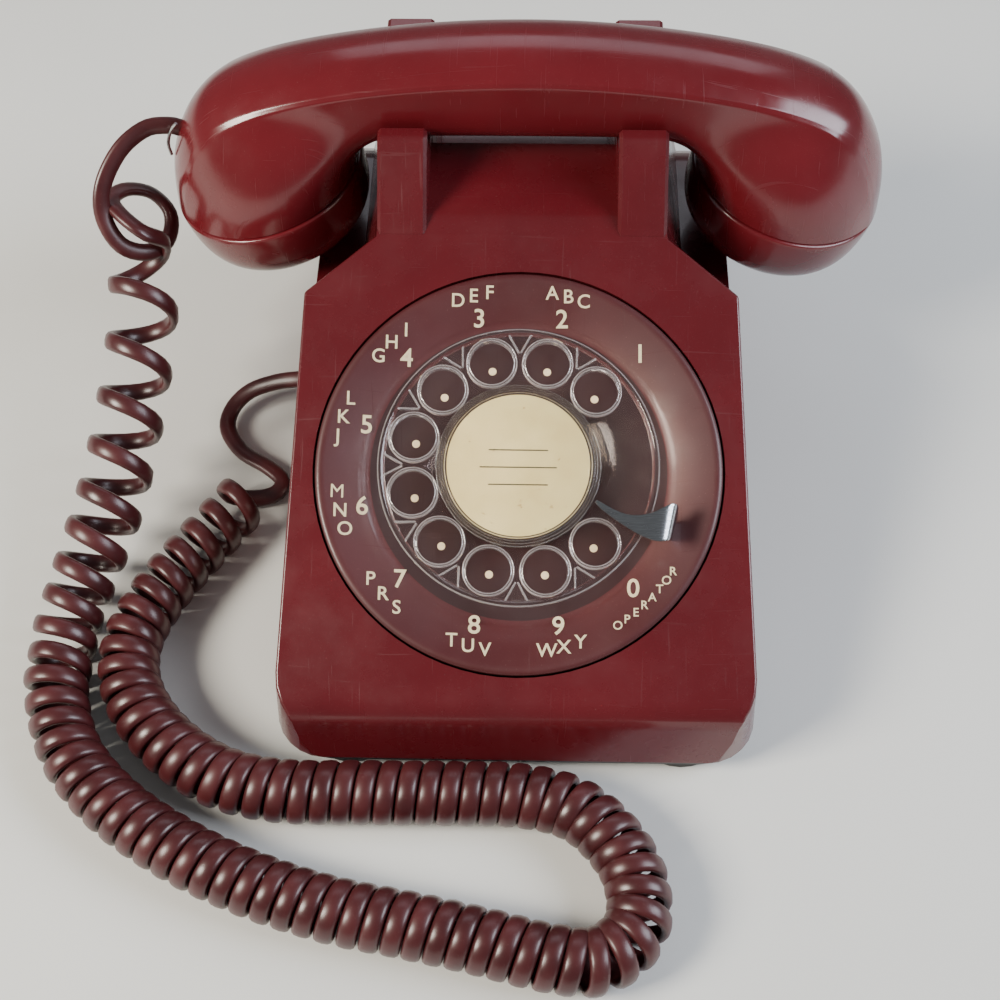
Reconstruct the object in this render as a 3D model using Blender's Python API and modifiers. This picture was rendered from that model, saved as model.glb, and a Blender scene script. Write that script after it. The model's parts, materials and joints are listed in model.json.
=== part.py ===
"""Rotary desk telephone: housing with cradle, dial, ringer, hook switch, handset and curly cord.

Metres, +Z up, +X to the right of someone using it, +Y to its back. The origin is on the table, under
the middle of the telephone. Each object is one physical piece.
"""

import math

import bmesh
import bpy
from mathutils import Matrix, Vector

MM = 0.001
GAP = 0.3 * MM

# Overall size
DEPTH = 222 * MM
FRONT = -DEPTH / 2
BACK = DEPTH / 2
FOOT_HEIGHT = 5.8 * MM
PLATE_BOTTOM = FOOT_HEIGHT + GAP
PLATE_THICK = 1.5 * MM
HOUSING_BOTTOM = PLATE_BOTTOM + PLATE_THICK + GAP
HALF_WIDTH_BASE = 70.6 * MM
HALF_WIDTH_TOP = 63.5 * MM
TAPER_TOP = 87.5 * MM
WALL = 2.6 * MM

# Sloping face and dial
FACE_TILT = math.radians(24)
DIAL = Vector((0, -41.8 * MM, 56.9 * MM))
RING_R = 58.7 * MM
OPENING_R = 59.9 * MM
WHEEL_R = 40.5 * MM
WHEEL_LOW = 4.4 * MM
WHEEL_TOP = 7.4 * MM
HOLE_CIRCLE_R = 31.2 * MM
HOLE_R = 6.4 * MM
HOLE_COUNT = 10
FIRST_HOLE = math.radians(45)
HOLE_STEP = math.radians(30)
SHAFT_R = 4 * MM

# Cradle
HORN_IN = 28.5 * MM
HORN_OUT = 43.2 * MM
HORN_TOP = 104.8 * MM
SEAT_TOP = 93.8 * MM
DECK_TOP = 88 * MM
SHELF_TOP = 47 * MM
FACE_END_Y = 23.2 * MM

# Handset
HANDSET_X = 1 * MM
HANDSET_Y = 65 * MM
CAP_X = 83.2 * MM
CAP_Z = 71.5 * MM
CAP_R = 31.5 * MM
CAP_TILT = math.radians(13)
CAP_DEPTH = 24 * MM

# Hook plungers stand pressed under the handset, and rise this far when it is lifted
PLUNGER_R = 4 * MM
PLUNGER_X = 35.8 * MM
PLUNGER_TRAVEL = 5.5 * MM
PLUNGER_TOP = 94.5 * MM

# Cord
COIL_R = 9.3 * MM
CORD_R = 2.4 * MM

TURN_STEPS = 48


# ---------------------------------------------------------------- scene and helpers


def clear_scene():
    for obj in list(bpy.data.objects):
        bpy.data.objects.remove(obj, do_unlink=True)


def collection(name):
    found = bpy.data.collections.new(name)
    bpy.context.scene.collection.children.link(found)
    return found


def material(name, colour, roughness, metallic=0.0, alpha=1.0):
    made = bpy.data.materials.new(name)
    made.use_nodes = True
    shader = made.node_tree.nodes["Principled BSDF"]
    shader.inputs["Base Color"].default_value = (*colour, 1)
    shader.inputs["Roughness"].default_value = roughness
    shader.inputs["Metallic"].default_value = metallic
    shader.inputs["Alpha"].default_value = alpha
    made.diffuse_color = (*colour, alpha)
    return made


def object_from(name, mesh):
    obj = bpy.data.objects.new(name, mesh)
    CUTTERS.objects.link(obj)
    obj.hide_render = True
    obj.display_type = "WIRE"
    return obj


def keep(obj, name, surface, parent=None):
    """Turns a finished shape into a named piece."""
    obj.name = name
    obj.data.name = name
    CUTTERS.objects.unlink(obj)
    PARTS.objects.link(obj)
    obj.hide_render = False
    obj.display_type = "TEXTURED"
    obj.data.materials.clear()
    obj.data.materials.append(surface)
    if obj.type == "MESH":
        obj.data.shade_smooth()
        obj.data.set_sharp_from_angle(angle=math.radians(35))
    if parent:
        obj.parent = parent
    return obj


def empty(name, location, rotation=(0, 0, 0)):
    obj = bpy.data.objects.new(name, None)
    obj.location = location
    obj.rotation_euler = rotation
    PARTS.objects.link(obj)
    return obj


def bake(obj):
    """Replaces an object's data by its evaluated mesh, with caps welded."""
    bpy.context.view_layer.update()
    graph = bpy.context.evaluated_depsgraph_get()
    mesh = bpy.data.meshes.new_from_object(obj.evaluated_get(graph))
    shape = bmesh.new()
    shape.from_mesh(mesh)
    bmesh.ops.remove_doubles(shape, verts=shape.verts, dist=0.00001)
    shape.to_mesh(mesh)
    shape.free()
    made = object_from(obj.name + "_mesh", mesh)
    made.matrix_world = obj.matrix_world.copy()
    bpy.data.objects.remove(obj, do_unlink=True)
    return made


def place(obj, matrix):
    """Moves the mesh itself, so that the object stays at the origin."""
    obj.data.transform(matrix)
    return obj


def pivot(obj, point):
    """Puts the object's origin on its joint's axis, leaving the shape where it is."""
    obj.data.transform(Matrix.Translation(-point))
    obj.location = point
    return obj


def boolean(obj, other, operation):
    step = obj.modifiers.new(operation, "BOOLEAN")
    step.operation = operation
    step.object = other
    step.solver = "EXACT"
    made = bake(obj)
    bpy.data.objects.remove(other, do_unlink=True)
    return made


def cut(obj, other):
    return boolean(obj, other, "DIFFERENCE")


def join(obj, other):
    return boolean(obj, other, "UNION")


def common(obj, other):
    return boolean(obj, other, "INTERSECT")


def from_bmesh(name, shape):
    bmesh.ops.recalc_face_normals(shape, faces=shape.faces)
    mesh = bpy.data.meshes.new(name)
    shape.to_mesh(mesh)
    shape.free()
    return object_from(name, mesh)


def block(name, low, high):
    low, high = Vector(low), Vector(high)
    shape = bmesh.new()
    bmesh.ops.create_cube(shape, size=1)
    size = high - low
    bmesh.ops.scale(shape, vec=size, verts=shape.verts)
    bmesh.ops.translate(shape, vec=(low + high) / 2, verts=shape.verts)
    return from_bmesh(name, shape)


def cylinder(name, radius, low, high, steps=TURN_STEPS, top_radius=None, at=(0, 0)):
    shape = bmesh.new()
    bmesh.ops.create_cone(
        shape,
        cap_ends=True,
        segments=steps,
        radius1=radius,
        radius2=radius if top_radius is None else top_radius,
        depth=high - low,
    )
    bmesh.ops.translate(shape, vec=(*at, (low + high) / 2), verts=shape.verts)
    return from_bmesh(name, shape)


def turned(name, profile, steps=TURN_STEPS):
    """A solid of revolution about Z. The profile is (radius, height) pairs down the outer side."""
    mesh = bpy.data.meshes.new(name)
    edges = [(i, i + 1) for i in range(len(profile) - 1)]
    if profile[0][0] > 0 and profile[-1][0] > 0:
        edges.append((len(profile) - 1, 0))
    mesh.from_pydata([(r, 0, z) for r, z in profile], edges, [])
    obj = object_from(name, mesh)
    screw = obj.modifiers.new("turn", "SCREW")
    screw.steps = steps
    screw.render_steps = steps
    screw.use_merge_vertices = True
    screw.merge_threshold = 0.00001
    return bake(obj)


def prism(name, points, low, high):
    """A flat outline in XY, extruded from low to high."""
    curve = bpy.data.curves.new(name, "CURVE")
    curve.dimensions = "2D"
    curve.fill_mode = "BOTH"
    curve.extrude = (high - low) / 2
    spline = curve.splines.new("POLY")
    spline.points.add(len(points) - 1)
    for point, (x, y) in zip(spline.points, points):
        point.co = (x, y, 0, 1)
    spline.use_cyclic_u = True
    obj = bake(object_from(name, curve))
    return place(obj, Matrix.Translation((0, 0, (low + high) / 2)))


# XY of an outline becomes the row's YZ, and its thickness runs along X.
SIDE_VIEW = Matrix(((0, 0, 1, 0), (1, 0, 0, 0), (0, 1, 0, 0), (0, 0, 0, 1)))


def side_prism(name, points, half_width):
    return place(prism(name, points, -half_width, half_width), SIDE_VIEW)


def arc(centre, radius, start, end, steps):
    """Points on an arc, angles in degrees."""
    found = []
    for i in range(steps + 1):
        angle = math.radians(start + (end - start) * i / steps)
        found.append((centre[0] + radius * math.cos(angle), centre[1] + radius * math.sin(angle)))
    return found


def rounded_box(half_x, low_y, high_y, front_r, back_r, steps=6):
    """A rounded rectangle in plan, counter-clockwise from its front left corner."""
    return (
        arc((-half_x + front_r, low_y + front_r), front_r, 180, 270, steps)
        + arc((half_x - front_r, low_y + front_r), front_r, 270, 360, steps)
        + arc((half_x - back_r, high_y - back_r), back_r, 0, 90, steps)
        + arc((-half_x + back_r, high_y - back_r), back_r, 90, 180, steps)
    )


def loft(name, sections):
    """A closed solid through rings of equal point count, capped at both ends."""
    shape = bmesh.new()
    rings = [[shape.verts.new(point) for point in ring] for ring in sections]
    count = len(rings[0])
    for ring, following in zip(rings, rings[1:]):
        for i in range(count):
            j = (i + 1) % count
            shape.faces.new((ring[i], ring[j], following[j], following[i]))
    shape.faces.new(rings[0])
    shape.faces.new(rings[-1])
    return from_bmesh(name, shape)


def slice_away(obj, point, normal):
    """Cuts off the side of the plane that the normal points to, and closes the cut."""
    shape = bmesh.new()
    shape.from_mesh(obj.data)
    geometry = shape.verts[:] + shape.edges[:] + shape.faces[:]
    result = bmesh.ops.bisect_plane(
        shape, geom=geometry, plane_co=point, plane_no=normal, clear_outer=True
    )
    rim = [item for item in result["geom_cut"] if isinstance(item, bmesh.types.BMEdge)]
    bmesh.ops.holes_fill(shape, edges=rim)
    shape.to_mesh(obj.data)
    shape.free()
    return obj


def soften(obj, width, angle=40, segments=2):
    bevel = obj.modifiers.new("edges", "BEVEL")
    bevel.width = width
    bevel.segments = segments
    bevel.limit_method = "ANGLE"
    bevel.angle_limit = math.radians(angle)
    return bake(obj)


def smooth_path(points, step):
    """A Catmull-Rom curve through the points, read at even steps."""
    knots = [Vector(point) for point in points]
    knots = [2 * knots[0] - knots[1]] + knots + [2 * knots[-1] - knots[-2]]
    fine = []
    for before, start, end, after in zip(knots, knots[1:], knots[2:], knots[3:]):
        for i in range(24):
            t = i / 24
            fine.append(
                0.5
                * (
                    2 * start
                    + (end - before) * t
                    + (2 * before - 5 * start + 4 * end - after) * t * t
                    + (3 * start - before - 3 * end + after) * t**3
                )
            )
    fine.append(knots[-2])
    length = sum((b - a).length for a, b in zip(fine, fine[1:]))
    count = max(2, round(length / step))
    found = [fine[0]]
    gone = 0.0
    for a, b in zip(fine, fine[1:]):
        reach = (b - a).length
        while len(found) < count and gone + reach >= len(found) * length / count:
            found.append(a.lerp(b, (len(found) * length / count - gone) / reach))
        gone += reach
    return found + [fine[-1]]


def tube(name, points, radius, resolution=2):
    curve = bpy.data.curves.new(name, "CURVE")
    curve.dimensions = "3D"
    curve.bevel_depth = radius
    curve.bevel_resolution = resolution
    curve.use_fill_caps = True
    spline = curve.splines.new("POLY")
    spline.points.add(len(points) - 1)
    for point, co in zip(spline.points, points):
        point.co = (*co, 1)
    return bake(object_from(name, curve))


# ---------------------------------------------------------------- housing


def face_z(y):
    """Height of the sloping face above the table."""
    return DIAL.z + (y - DIAL.y) * math.tan(FACE_TILT)


def dial_to_row(u, v, w=0.0):
    """A point given across, up and out of the sloping face, from the dial's centre."""
    return DIAL + Vector((0, math.cos(FACE_TILT), math.sin(FACE_TILT))) * v + Vector(
        (u, -math.sin(FACE_TILT) * w, math.cos(FACE_TILT) * w)
    )


def plan_block(inset, bottom):
    """The tapering block that the base's four walls follow."""
    sections = []
    for z, half in ((bottom, HALF_WIDTH_BASE), (TAPER_TOP, HALF_WIDTH_TOP)):
        lean = (HALF_WIDTH_BASE - half) * 0.6
        outline = rounded_box(
            half - inset, FRONT + inset + lean * 0.2, BACK - inset - lean, 15 * MM - inset, 12 * MM - inset
        )
        sections.append([(x, y, z) for x, y in outline])
    return loft("plan_block", sections)


def front_outline(inset):
    """Side view of the front: upright lip, rounded fold, then the sloping face."""
    lift = inset / math.cos(FACE_TILT)
    fold = 10 * MM - inset * 0.5
    fold_y = FRONT + 3.2 * MM + inset + fold
    bend_z = face_z(fold_y - fold * math.sin(FACE_TILT)) - lift - fold * math.cos(FACE_TILT)
    start = 180 - 9
    end = 90 + math.degrees(FACE_TILT)
    return arc((fold_y, bend_z), fold, start, end, 5)


def wedge(inset, bottom):
    """The part of the base under the sloping face, with its two rear corners sloped away."""
    lift = inset / math.cos(FACE_TILT)
    top = (FACE_END_Y, face_z(FACE_END_Y) - lift)
    outline = [(FRONT + inset, bottom)] + front_outline(inset) + [top]
    outline += [(FACE_END_Y + 30 * MM, face_z(FACE_END_Y) - lift - 6 * MM), (FACE_END_Y + 42 * MM, bottom)]
    solid = common(plan_block(inset, bottom), side_prism("wedge_side", outline, 0.1))
    for side in (-1, 1):
        normal = Vector((side * 0.634, 0.594, 0.494)).normalized()
        point = dial_to_row(side * 43.5 * MM, 70.7 * MM) - normal * inset
        slice_away(solid, point, normal)
    return solid


def low_block(inset, bottom):
    """The low base behind the face, as wide as the base all the way back."""
    top = SHELF_TOP - inset
    rise = face_z(-60 * MM) - inset / math.cos(FACE_TILT)
    outline = [(FRONT + inset, bottom)] + front_outline(inset)[:3]
    outline += [(-60 * MM, rise - 8 * MM), (-10 * MM, top), (60 * MM, top)]
    outline += arc((BACK - 16 * MM, top - 14 * MM), 14 * MM, 90, 20, 3)
    outline += [(BACK - inset, bottom)]
    return common(plan_block(inset, bottom), side_prism("low_side", outline, 0.1))


def neck(inset, bottom, high):
    """The narrow block under the cradle, with flanks that flare down to the base."""
    rear = 103 * MM - inset
    outline = [(-20 * MM, bottom), (-20 * MM, face_z(-20 * MM) - inset / math.cos(FACE_TILT))]
    outline += [(FACE_END_Y, face_z(FACE_END_Y) - inset / math.cos(FACE_TILT)), (30 * MM, high)]
    outline += [(rear - 7 * MM, high), (rear, SHELF_TOP - 5 * MM), (rear, bottom)]
    solid = side_prism("neck", outline, 90 * MM)
    flare = math.radians(13)
    for side in (-1, 1):
        normal = Vector((side * math.cos(flare), 0, math.sin(flare)))
        slice_away(solid, Vector((side * (HORN_OUT - 0.4 * MM - inset), 0, DECK_TOP)), normal)
    return solid


def horn_pair(side):
    """One side of the cradle: front horn, seat and rear horn."""
    outline = [
        (22.6 * MM, face_z(22.6 * MM) - 6 * MM),
        (22.6 * MM, face_z(22.6 * MM)),
        (43.8 * MM, HORN_TOP),
        (49 * MM, HORN_TOP),
        (49.4 * MM, SEAT_TOP),
        (80.8 * MM, SEAT_TOP),
        (82.6 * MM, HORN_TOP),
        (98.4 * MM, HORN_TOP),
        (103.6 * MM, 62 * MM),
        (103.6 * MM, 50 * MM),
        (60 * MM, 50 * MM),
        (40 * MM, 70 * MM),
    ]
    middle = (HORN_IN + HORN_OUT) / 2 * side
    solid = side_prism("horns", outline, (HORN_OUT - HORN_IN) / 2)
    solid = soften(solid, 1 * MM, angle=35, segments=1)
    return place(solid, Matrix.Translation((middle, 0, 0)))


def hand_recess():
    """The scoop between the rear horns that fingers carry the telephone by."""
    outline = [(56 * MM, 120 * MM), (60 * MM, DECK_TOP - 1 * MM), (70 * MM, 74 * MM)]
    outline += [(80 * MM, 60 * MM), (92 * MM, 56 * MM), (125 * MM, 56 * MM), (125 * MM, 120 * MM)]
    return side_prism("hand_recess", outline, HORN_IN - 0.2 * MM)


def recess_lining(wall):
    """Solid material around the scoop, so that the hollow inside keeps its wall."""
    outline = [(60 * MM - wall, 120 * MM), (60 * MM - wall, DECK_TOP - 3 * MM), (69 * MM - wall, 72 * MM)]
    outline += [(79 * MM, 57.5 * MM - wall), (125 * MM, 55 * MM - wall), (125 * MM, 120 * MM)]
    return side_prism("recess_lining", outline, HORN_IN + wall)


def housing_shell():
    outer = soften(wedge(0, HOUSING_BOTTOM), 3.2 * MM, angle=38, segments=3)
    outer = join(outer, soften(low_block(0, HOUSING_BOTTOM), 3 * MM, angle=50, segments=2))
    outer = join(outer, neck(0, HOUSING_BOTTOM, DECK_TOP))
    for side in (-1, 1):
        outer = join(outer, horn_pair(side))
    outer = cut(outer, hand_recess())
    below = HOUSING_BOTTOM - 5 * MM
    hollow = join(wedge(WALL, below), low_block(WALL, below))
    hollow = join(hollow, neck(WALL, below, DECK_TOP - WALL))
    hollow = cut(hollow, recess_lining(WALL))
    return cut(outer, hollow)


def dial_opening():
    hole = cylinder("dial_opening", OPENING_R, -14 * MM, 20 * MM, steps=72)
    return place(hole, DIAL_MATRIX)


def housing():
    shell = housing_shell()
    for y in SCREW_YS:
        boss = cylinder("boss", 4.6 * MM, HOUSING_BOTTOM + 2.4 * MM, BOSS_TOPS[y], steps=16, at=(0, y))
        pilot = cylinder("pilot", SCREW_R + GAP, 0, SCREW_END + 1 * MM, steps=16, at=(0, y))
        shell = cut(join(shell, boss), pilot)
    shell = cut(shell, dial_opening())
    for side in (-1, 1):
        well = cylinder("well", PLUNGER_R + GAP, 70 * MM, 110 * MM, steps=20, at=(side * PLUNGER_X, HANDSET_Y))
        shell = cut(shell, well)
        room = block(
            "room",
            (side * PLUNGER_X - 4.7 * MM, HANDSET_Y - 7 * MM, 70 * MM),
            (side * PLUNGER_X + 4.7 * MM, HANDSET_Y + 7 * MM, SEAT_TOP - WALL),
        )
        shell = cut(shell, room)
    jack = block("jack", (-90 * MM, JACK_Y - 6 * MM, 0), (-50 * MM, JACK_Y + 6 * MM, JACK_Z + 5 * MM))
    shell = cut(shell, jack)
    inlet = cylinder("inlet", 4.6 * MM, -20 * MM, 20 * MM, steps=20)
    place(inlet, Matrix.Translation((INLET_X, BACK, INLET_Z)) @ Matrix.Rotation(math.pi / 2, 4, "X"))
    shell = cut(shell, inlet)
    return keep(shell, "housing", MAROON)


# ---------------------------------------------------------------- base


SCREW_R = 2 * MM
SCREW_END = 17 * MM
SCREW_YS = (-98 * MM, 96 * MM)
BOSS_TOPS = {SCREW_YS[0]: 28.5 * MM, SCREW_YS[1]: 45.5 * MM}
JACK_Y = 24 * MM
JACK_Z = 14.5 * MM
INLET_X = 30 * MM
INLET_R = 3.1 * MM
INLET_Z = 15 * MM
FOOT_R = 15 * MM
FEET = {
    "foot_front_left": (-49 * MM, -94.5 * MM),
    "foot_front_right": (49 * MM, -94.5 * MM),
    "foot_rear_left": (-49 * MM, 89 * MM),
    "foot_rear_right": (49 * MM, 89 * MM),
}


def base_plate():
    outline = rounded_box(
        HALF_WIDTH_BASE - 0.6 * MM, FRONT + 0.6 * MM, BACK - 0.6 * MM, 16.4 * MM, 11.4 * MM, steps=6
    )
    plate = prism("base_plate", outline, PLATE_BOTTOM, PLATE_BOTTOM + PLATE_THICK)
    for y in SCREW_YS:
        plate = cut(plate, cylinder("hole", SCREW_R + GAP, 0, 10 * MM, steps=16, at=(0, y)))
    plate = cut(plate, cylinder("hole", VOLUME_R - 4 * MM, 0, 10 * MM, steps=24, at=VOLUME_AT))
    return keep(plate, "base_plate", BLACK_STEEL)


def feet():
    for name, (x, y) in FEET.items():
        profile = [(0, FOOT_HEIGHT), (FOOT_R, FOOT_HEIGHT), (FOOT_R - 0.6 * MM, 0), (0, 0)]
        foot = turned(name, profile, steps=28)
        place(foot, Matrix.Translation((x, y, 0)))
        keep(foot, name, RUBBER)


def housing_screws():
    for name, y in zip(("front_screw", "rear_screw"), SCREW_YS):
        head = PLATE_BOTTOM - GAP
        profile = [(0, SCREW_END), (SCREW_R, SCREW_END), (SCREW_R, head), (3.4 * MM, head)]
        profile += [(3.4 * MM, head - 1.2 * MM), (2.4 * MM, head - 2 * MM), (0, head - 2 * MM)]
        screw = turned(name, profile, steps=16)
        place(screw, Matrix.Translation((0, y, 0)))
        slot = block("slot", (-5 * MM, y - 0.4 * MM, 0), (5 * MM, y + 0.4 * MM, head - 1.2 * MM))
        keep(cut(screw, slot), name, STEEL)


# ---------------------------------------------------------------- dial


DIAL_MATRIX = Matrix.Translation(DIAL) @ Matrix.Rotation(FACE_TILT, 4, "X")
PLATE_FLAT = -3.2 * MM
GEAR_LOW = -19 * MM
GEAR_THICK = 2 * MM
MAIN_TEETH = 48
PINION_TEETH = 12
TOOTH = 1 * MM
PINION_AT = Vector((0, -(MAIN_TEETH + PINION_TEETH) * TOOTH / 2, 0))


def dial_plate():
    """Dished number ring: rounded rim, sloping band for the characters, flat middle."""
    profile = [
        (RING_R - 1.2 * MM, 1.2 * MM),
        (RING_R - 0.3 * MM, 0.7 * MM),
        (RING_R, -0.4 * MM),
        (RING_R, -3.4 * MM),
        (RING_R - 2 * MM, -3.4 * MM),
        (45.4 * MM, -5 * MM),
        (10 * MM, -5 * MM),
        (10 * MM, PLATE_FLAT),
        (44 * MM, PLATE_FLAT),
        (45.6 * MM, -2.2 * MM),
        (RING_R - 4 * MM, 0.1 * MM),
        (RING_R - 2.6 * MM, 1 * MM),
    ]
    return keep(turned("dial_plate", profile, steps=60), "dial_plate", MAROON, DIAL_FRAME)


def dial_cup():
    """Dust cup behind the plate that carries the train of gears."""
    profile = [
        (42 * MM, -5.3 * MM),
        (42 * MM, -24 * MM),
        (5 * MM, -24 * MM),
        (5 * MM, -22.8 * MM),
        (40.8 * MM, -22.8 * MM),
        (40.8 * MM, -5.3 * MM),
    ]
    return keep(turned("dial_cup", profile, steps=40), "dial_cup", ZINC, DIAL_FRAME)


def hole_places():
    for i in range(HOLE_COUNT):
        angle = FIRST_HOLE + i * HOLE_STEP
        yield HOLE_CIRCLE_R * math.cos(angle), HOLE_CIRCLE_R * math.sin(angle)


def fingerwheel():
    profile = [
        (WHEEL_R - 1 * MM, WHEEL_TOP - 0.6 * MM),
        (WHEEL_R, WHEEL_TOP - 1.6 * MM),
        (WHEEL_R, WHEEL_LOW + 0.4 * MM),
        (WHEEL_R - 0.4 * MM, WHEEL_LOW),
        (SHAFT_R + 1.4 * MM, WHEEL_LOW),
        (SHAFT_R + 1.4 * MM, WHEEL_TOP - 0.6 * MM),
    ]
    wheel = turned("fingerwheel", profile, steps=54)
    for x, y in hole_places():
        rim = cylinder("rim", HOLE_R + 0.9 * MM, WHEEL_LOW + 1 * MM, WHEEL_TOP + 0.2 * MM, steps=16, at=(x, y))
        wheel = join(wheel, rim)
    for x, y in hole_places():
        wheel = cut(wheel, cylinder("hole", HOLE_R, 0, 12 * MM, steps=16, at=(x, y)))
    return keep(wheel, "fingerwheel", CLEAR, DIAL_FRAME)


def dial_shaft():
    """Shaft from the wheel down to the main gear, with a flange that the wheel is clamped to."""
    profile = [
        (0, WHEEL_TOP - 0.6 * MM),
        (SHAFT_R, WHEEL_TOP - 0.6 * MM),
        (SHAFT_R, WHEEL_LOW - GAP),
        (7.5 * MM, WHEEL_LOW - GAP),
        (7.5 * MM, WHEEL_LOW - 2.2 * MM),
        (SHAFT_R, WHEEL_LOW - 2.2 * MM),
        (SHAFT_R, -26 * MM),
        (0, -26 * MM),
    ]
    return keep(turned("dial_shaft", profile, steps=24), "dial_shaft", STEEL, DIAL_FRAME)


def number_card():
    card = cylinder("card", 20.6 * MM, WHEEL_TOP - 0.3 * MM, WHEEL_TOP + 0.1 * MM, steps=48)
    return keep(card, "number_card", PAPER, DIAL_FRAME)


def card_retainer():
    """Clear domed window with a stepped rim that holds the number card."""
    inner = 21 * MM
    profile = [
        (0, WHEEL_TOP + 2 * MM),
        (16 * MM, WHEEL_TOP + 1.9 * MM),
        (20.5 * MM, WHEEL_TOP + 1.6 * MM),
        (22.2 * MM, WHEEL_TOP + 1.1 * MM),
        (23.4 * MM, WHEEL_TOP + 0.6 * MM),
        (23.6 * MM, WHEEL_TOP - 0.3 * MM),
        (inner, WHEEL_TOP - 0.3 * MM),
        (inner, WHEEL_TOP + 0.4 * MM),
        (0, WHEEL_TOP + 0.4 * MM),
    ]
    return keep(turned("card_retainer", profile, steps=48), "card_retainer", CLEAR, DIAL_FRAME)


def gear(name, teeth, low, high, phase=0.0, bore=0.0):
    """A spur gear of trapezoid teeth, about the Z axis. The module is TOOTH."""
    pitch = teeth * TOOTH / 2
    points = []
    for i in range(teeth):
        middle = phase + 2 * math.pi * i / teeth
        for share, radius in ((-0.29, -1.1), (-0.12, 0.85), (0.12, 0.85), (0.29, -1.1)):
            angle = middle + share * 2 * math.pi / teeth
            points.append(((pitch + radius * TOOTH) * math.cos(angle), (pitch + radius * TOOTH) * math.sin(angle)))
    solid = prism(name, points, low, high)
    if bore:
        solid = cut(solid, cylinder("bore", bore, low - 1 * MM, high + 1 * MM, steps=24))
    return solid


def main_gear():
    solid = gear("main_gear", MAIN_TEETH, GEAR_LOW, GEAR_LOW + GEAR_THICK, bore=SHAFT_R + GAP)
    return keep(solid, "main_gear", BRASS, DIAL_FRAME)


def governor():
    """Pinion, spindle and drum of the centrifugal governor that slows the dial's return."""
    toward_main = math.pi / 2
    phase = toward_main + math.pi / PINION_TEETH
    solid = gear("governor", PINION_TEETH, GEAR_LOW - 0.4 * MM, GEAR_LOW + GEAR_THICK + 0.4 * MM, phase=phase)
    spindle = cylinder("spindle", 1.6 * MM, GEAR_LOW - 2.4 * MM, -7 * MM, steps=16)
    weights = cylinder("weights", 5.6 * MM, -14 * MM, -9.5 * MM, steps=24)
    solid = join(join(solid, spindle), weights)
    keep(solid, "governor", BRASS, DIAL_FRAME).location = PINION_AT
    return solid


def pulse_contacts():
    """Stack of contact springs beside the pulse cam."""
    solid = block("pulse_contacts", (-8 * MM, 33.5 * MM, -18 * MM), (8 * MM, 38 * MM, -8 * MM))
    for i in range(3):
        low = -16.5 * MM + i * 3 * MM
        leaf = block("leaf", (-18 * MM, 35 * MM, low), (-6 * MM, 35.6 * MM, low + 1.6 * MM))
        solid = join(solid, leaf)
    return keep(solid, "pulse_contacts", PHENOLIC, DIAL_FRAME)


STOP_TOP = WHEEL_TOP + 2.6 * MM
STOP_THICK = 1.2 * MM


def finger_stop():
    """Pressed steel hook that reaches in over the wheel and is screwed to the plate outside it."""
    outline = [
        (21.6, -10.4),
        (22.4, -9.8),
        (25.7, -12.2),
        (29.7, -14),
        (34.2, -14.5),
        (38.7, -13.4),
        (42.6, -10.8),
        (44.8, -11.4),
        (45.6, -13.2),
        (43.6, -19.2),
        (42.8, -21.4),
        (38.8, -21.6),
        (34.6, -19.8),
        (30.2, -17.2),
        (26.2, -14.4),
    ]
    points = [(x * MM, y * MM) for x, y in reversed(outline)]
    solid = prism("finger_stop", points, STOP_TOP - STOP_THICK, STOP_TOP)
    leg = block("leg", (40.4 * MM, -20.6 * MM, -1.4 * MM), (42.2 * MM, -15.2 * MM, STOP_TOP - 0.2 * MM))
    return keep(join(solid, leg), "finger_stop", STEEL, DIAL_FRAME)


# ---------------------------------------------------------------- hook switch and ringer


VOLUME_R = 14 * MM
VOLUME_AT = (40 * MM, 40 * MM)
LEVER_PIVOT = Vector((0, 30 * MM, 62.5 * MM))
LEVER_PIN_R = 1.5 * MM
LEVER_TOP = 68.5 * MM


def plungers():
    for name, side in (("left_plunger", -1), ("right_plunger", 1)):
        profile = [
            (0, PLUNGER_TOP),
            (PLUNGER_R - 1.2 * MM, PLUNGER_TOP),
            (PLUNGER_R, PLUNGER_TOP - 1.2 * MM),
            (PLUNGER_R, LEVER_TOP + 0.6 * MM),
            (0, LEVER_TOP + 0.6 * MM),
        ]
        stem = turned(name, profile, steps=20)
        keep(stem, name, CLEAR_GREY).location = (side * PLUNGER_X, HANDSET_Y, 0)


def hook_lever():
    """Two arms on one pin, each ending in a pad under its plunger, joined by a cross bar."""
    low, high = LEVER_TOP - 2 * MM, LEVER_TOP
    solid = cylinder("hook_lever", LEVER_PIN_R, -35.5 * MM, 35.5 * MM, steps=16)
    place(solid, Matrix.Translation(LEVER_PIVOT) @ Matrix.Rotation(math.pi / 2, 4, "Y"))
    solid = join(solid, block("bar", (-34.5 * MM, 46 * MM, low - 2.6 * MM), (34.5 * MM, 49 * MM, low + 1 * MM)))
    for side in (-1, 1):
        arm = [(26, 59.5), (34, 59.5), (49, 63.5), (69, 66.5), (69, 68.5), (46, 68.5), (30, 66.5), (26, 65.5)]
        outline = [(y * MM, z * MM) for y, z in arm]
        solid = join(solid, place(side_prism("arm", outline, 1 * MM), Matrix.Translation((side * 34 * MM, 0, 0))))
        pad = block("pad", (side * PLUNGER_X - 3 * MM, 61.6 * MM, low), (side * PLUNGER_X + 3 * MM, 68.4 * MM, high))
        solid = join(solid, pad)
    return pivot(keep(solid, "hook_lever", ZINC), LEVER_PIVOT)


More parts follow.
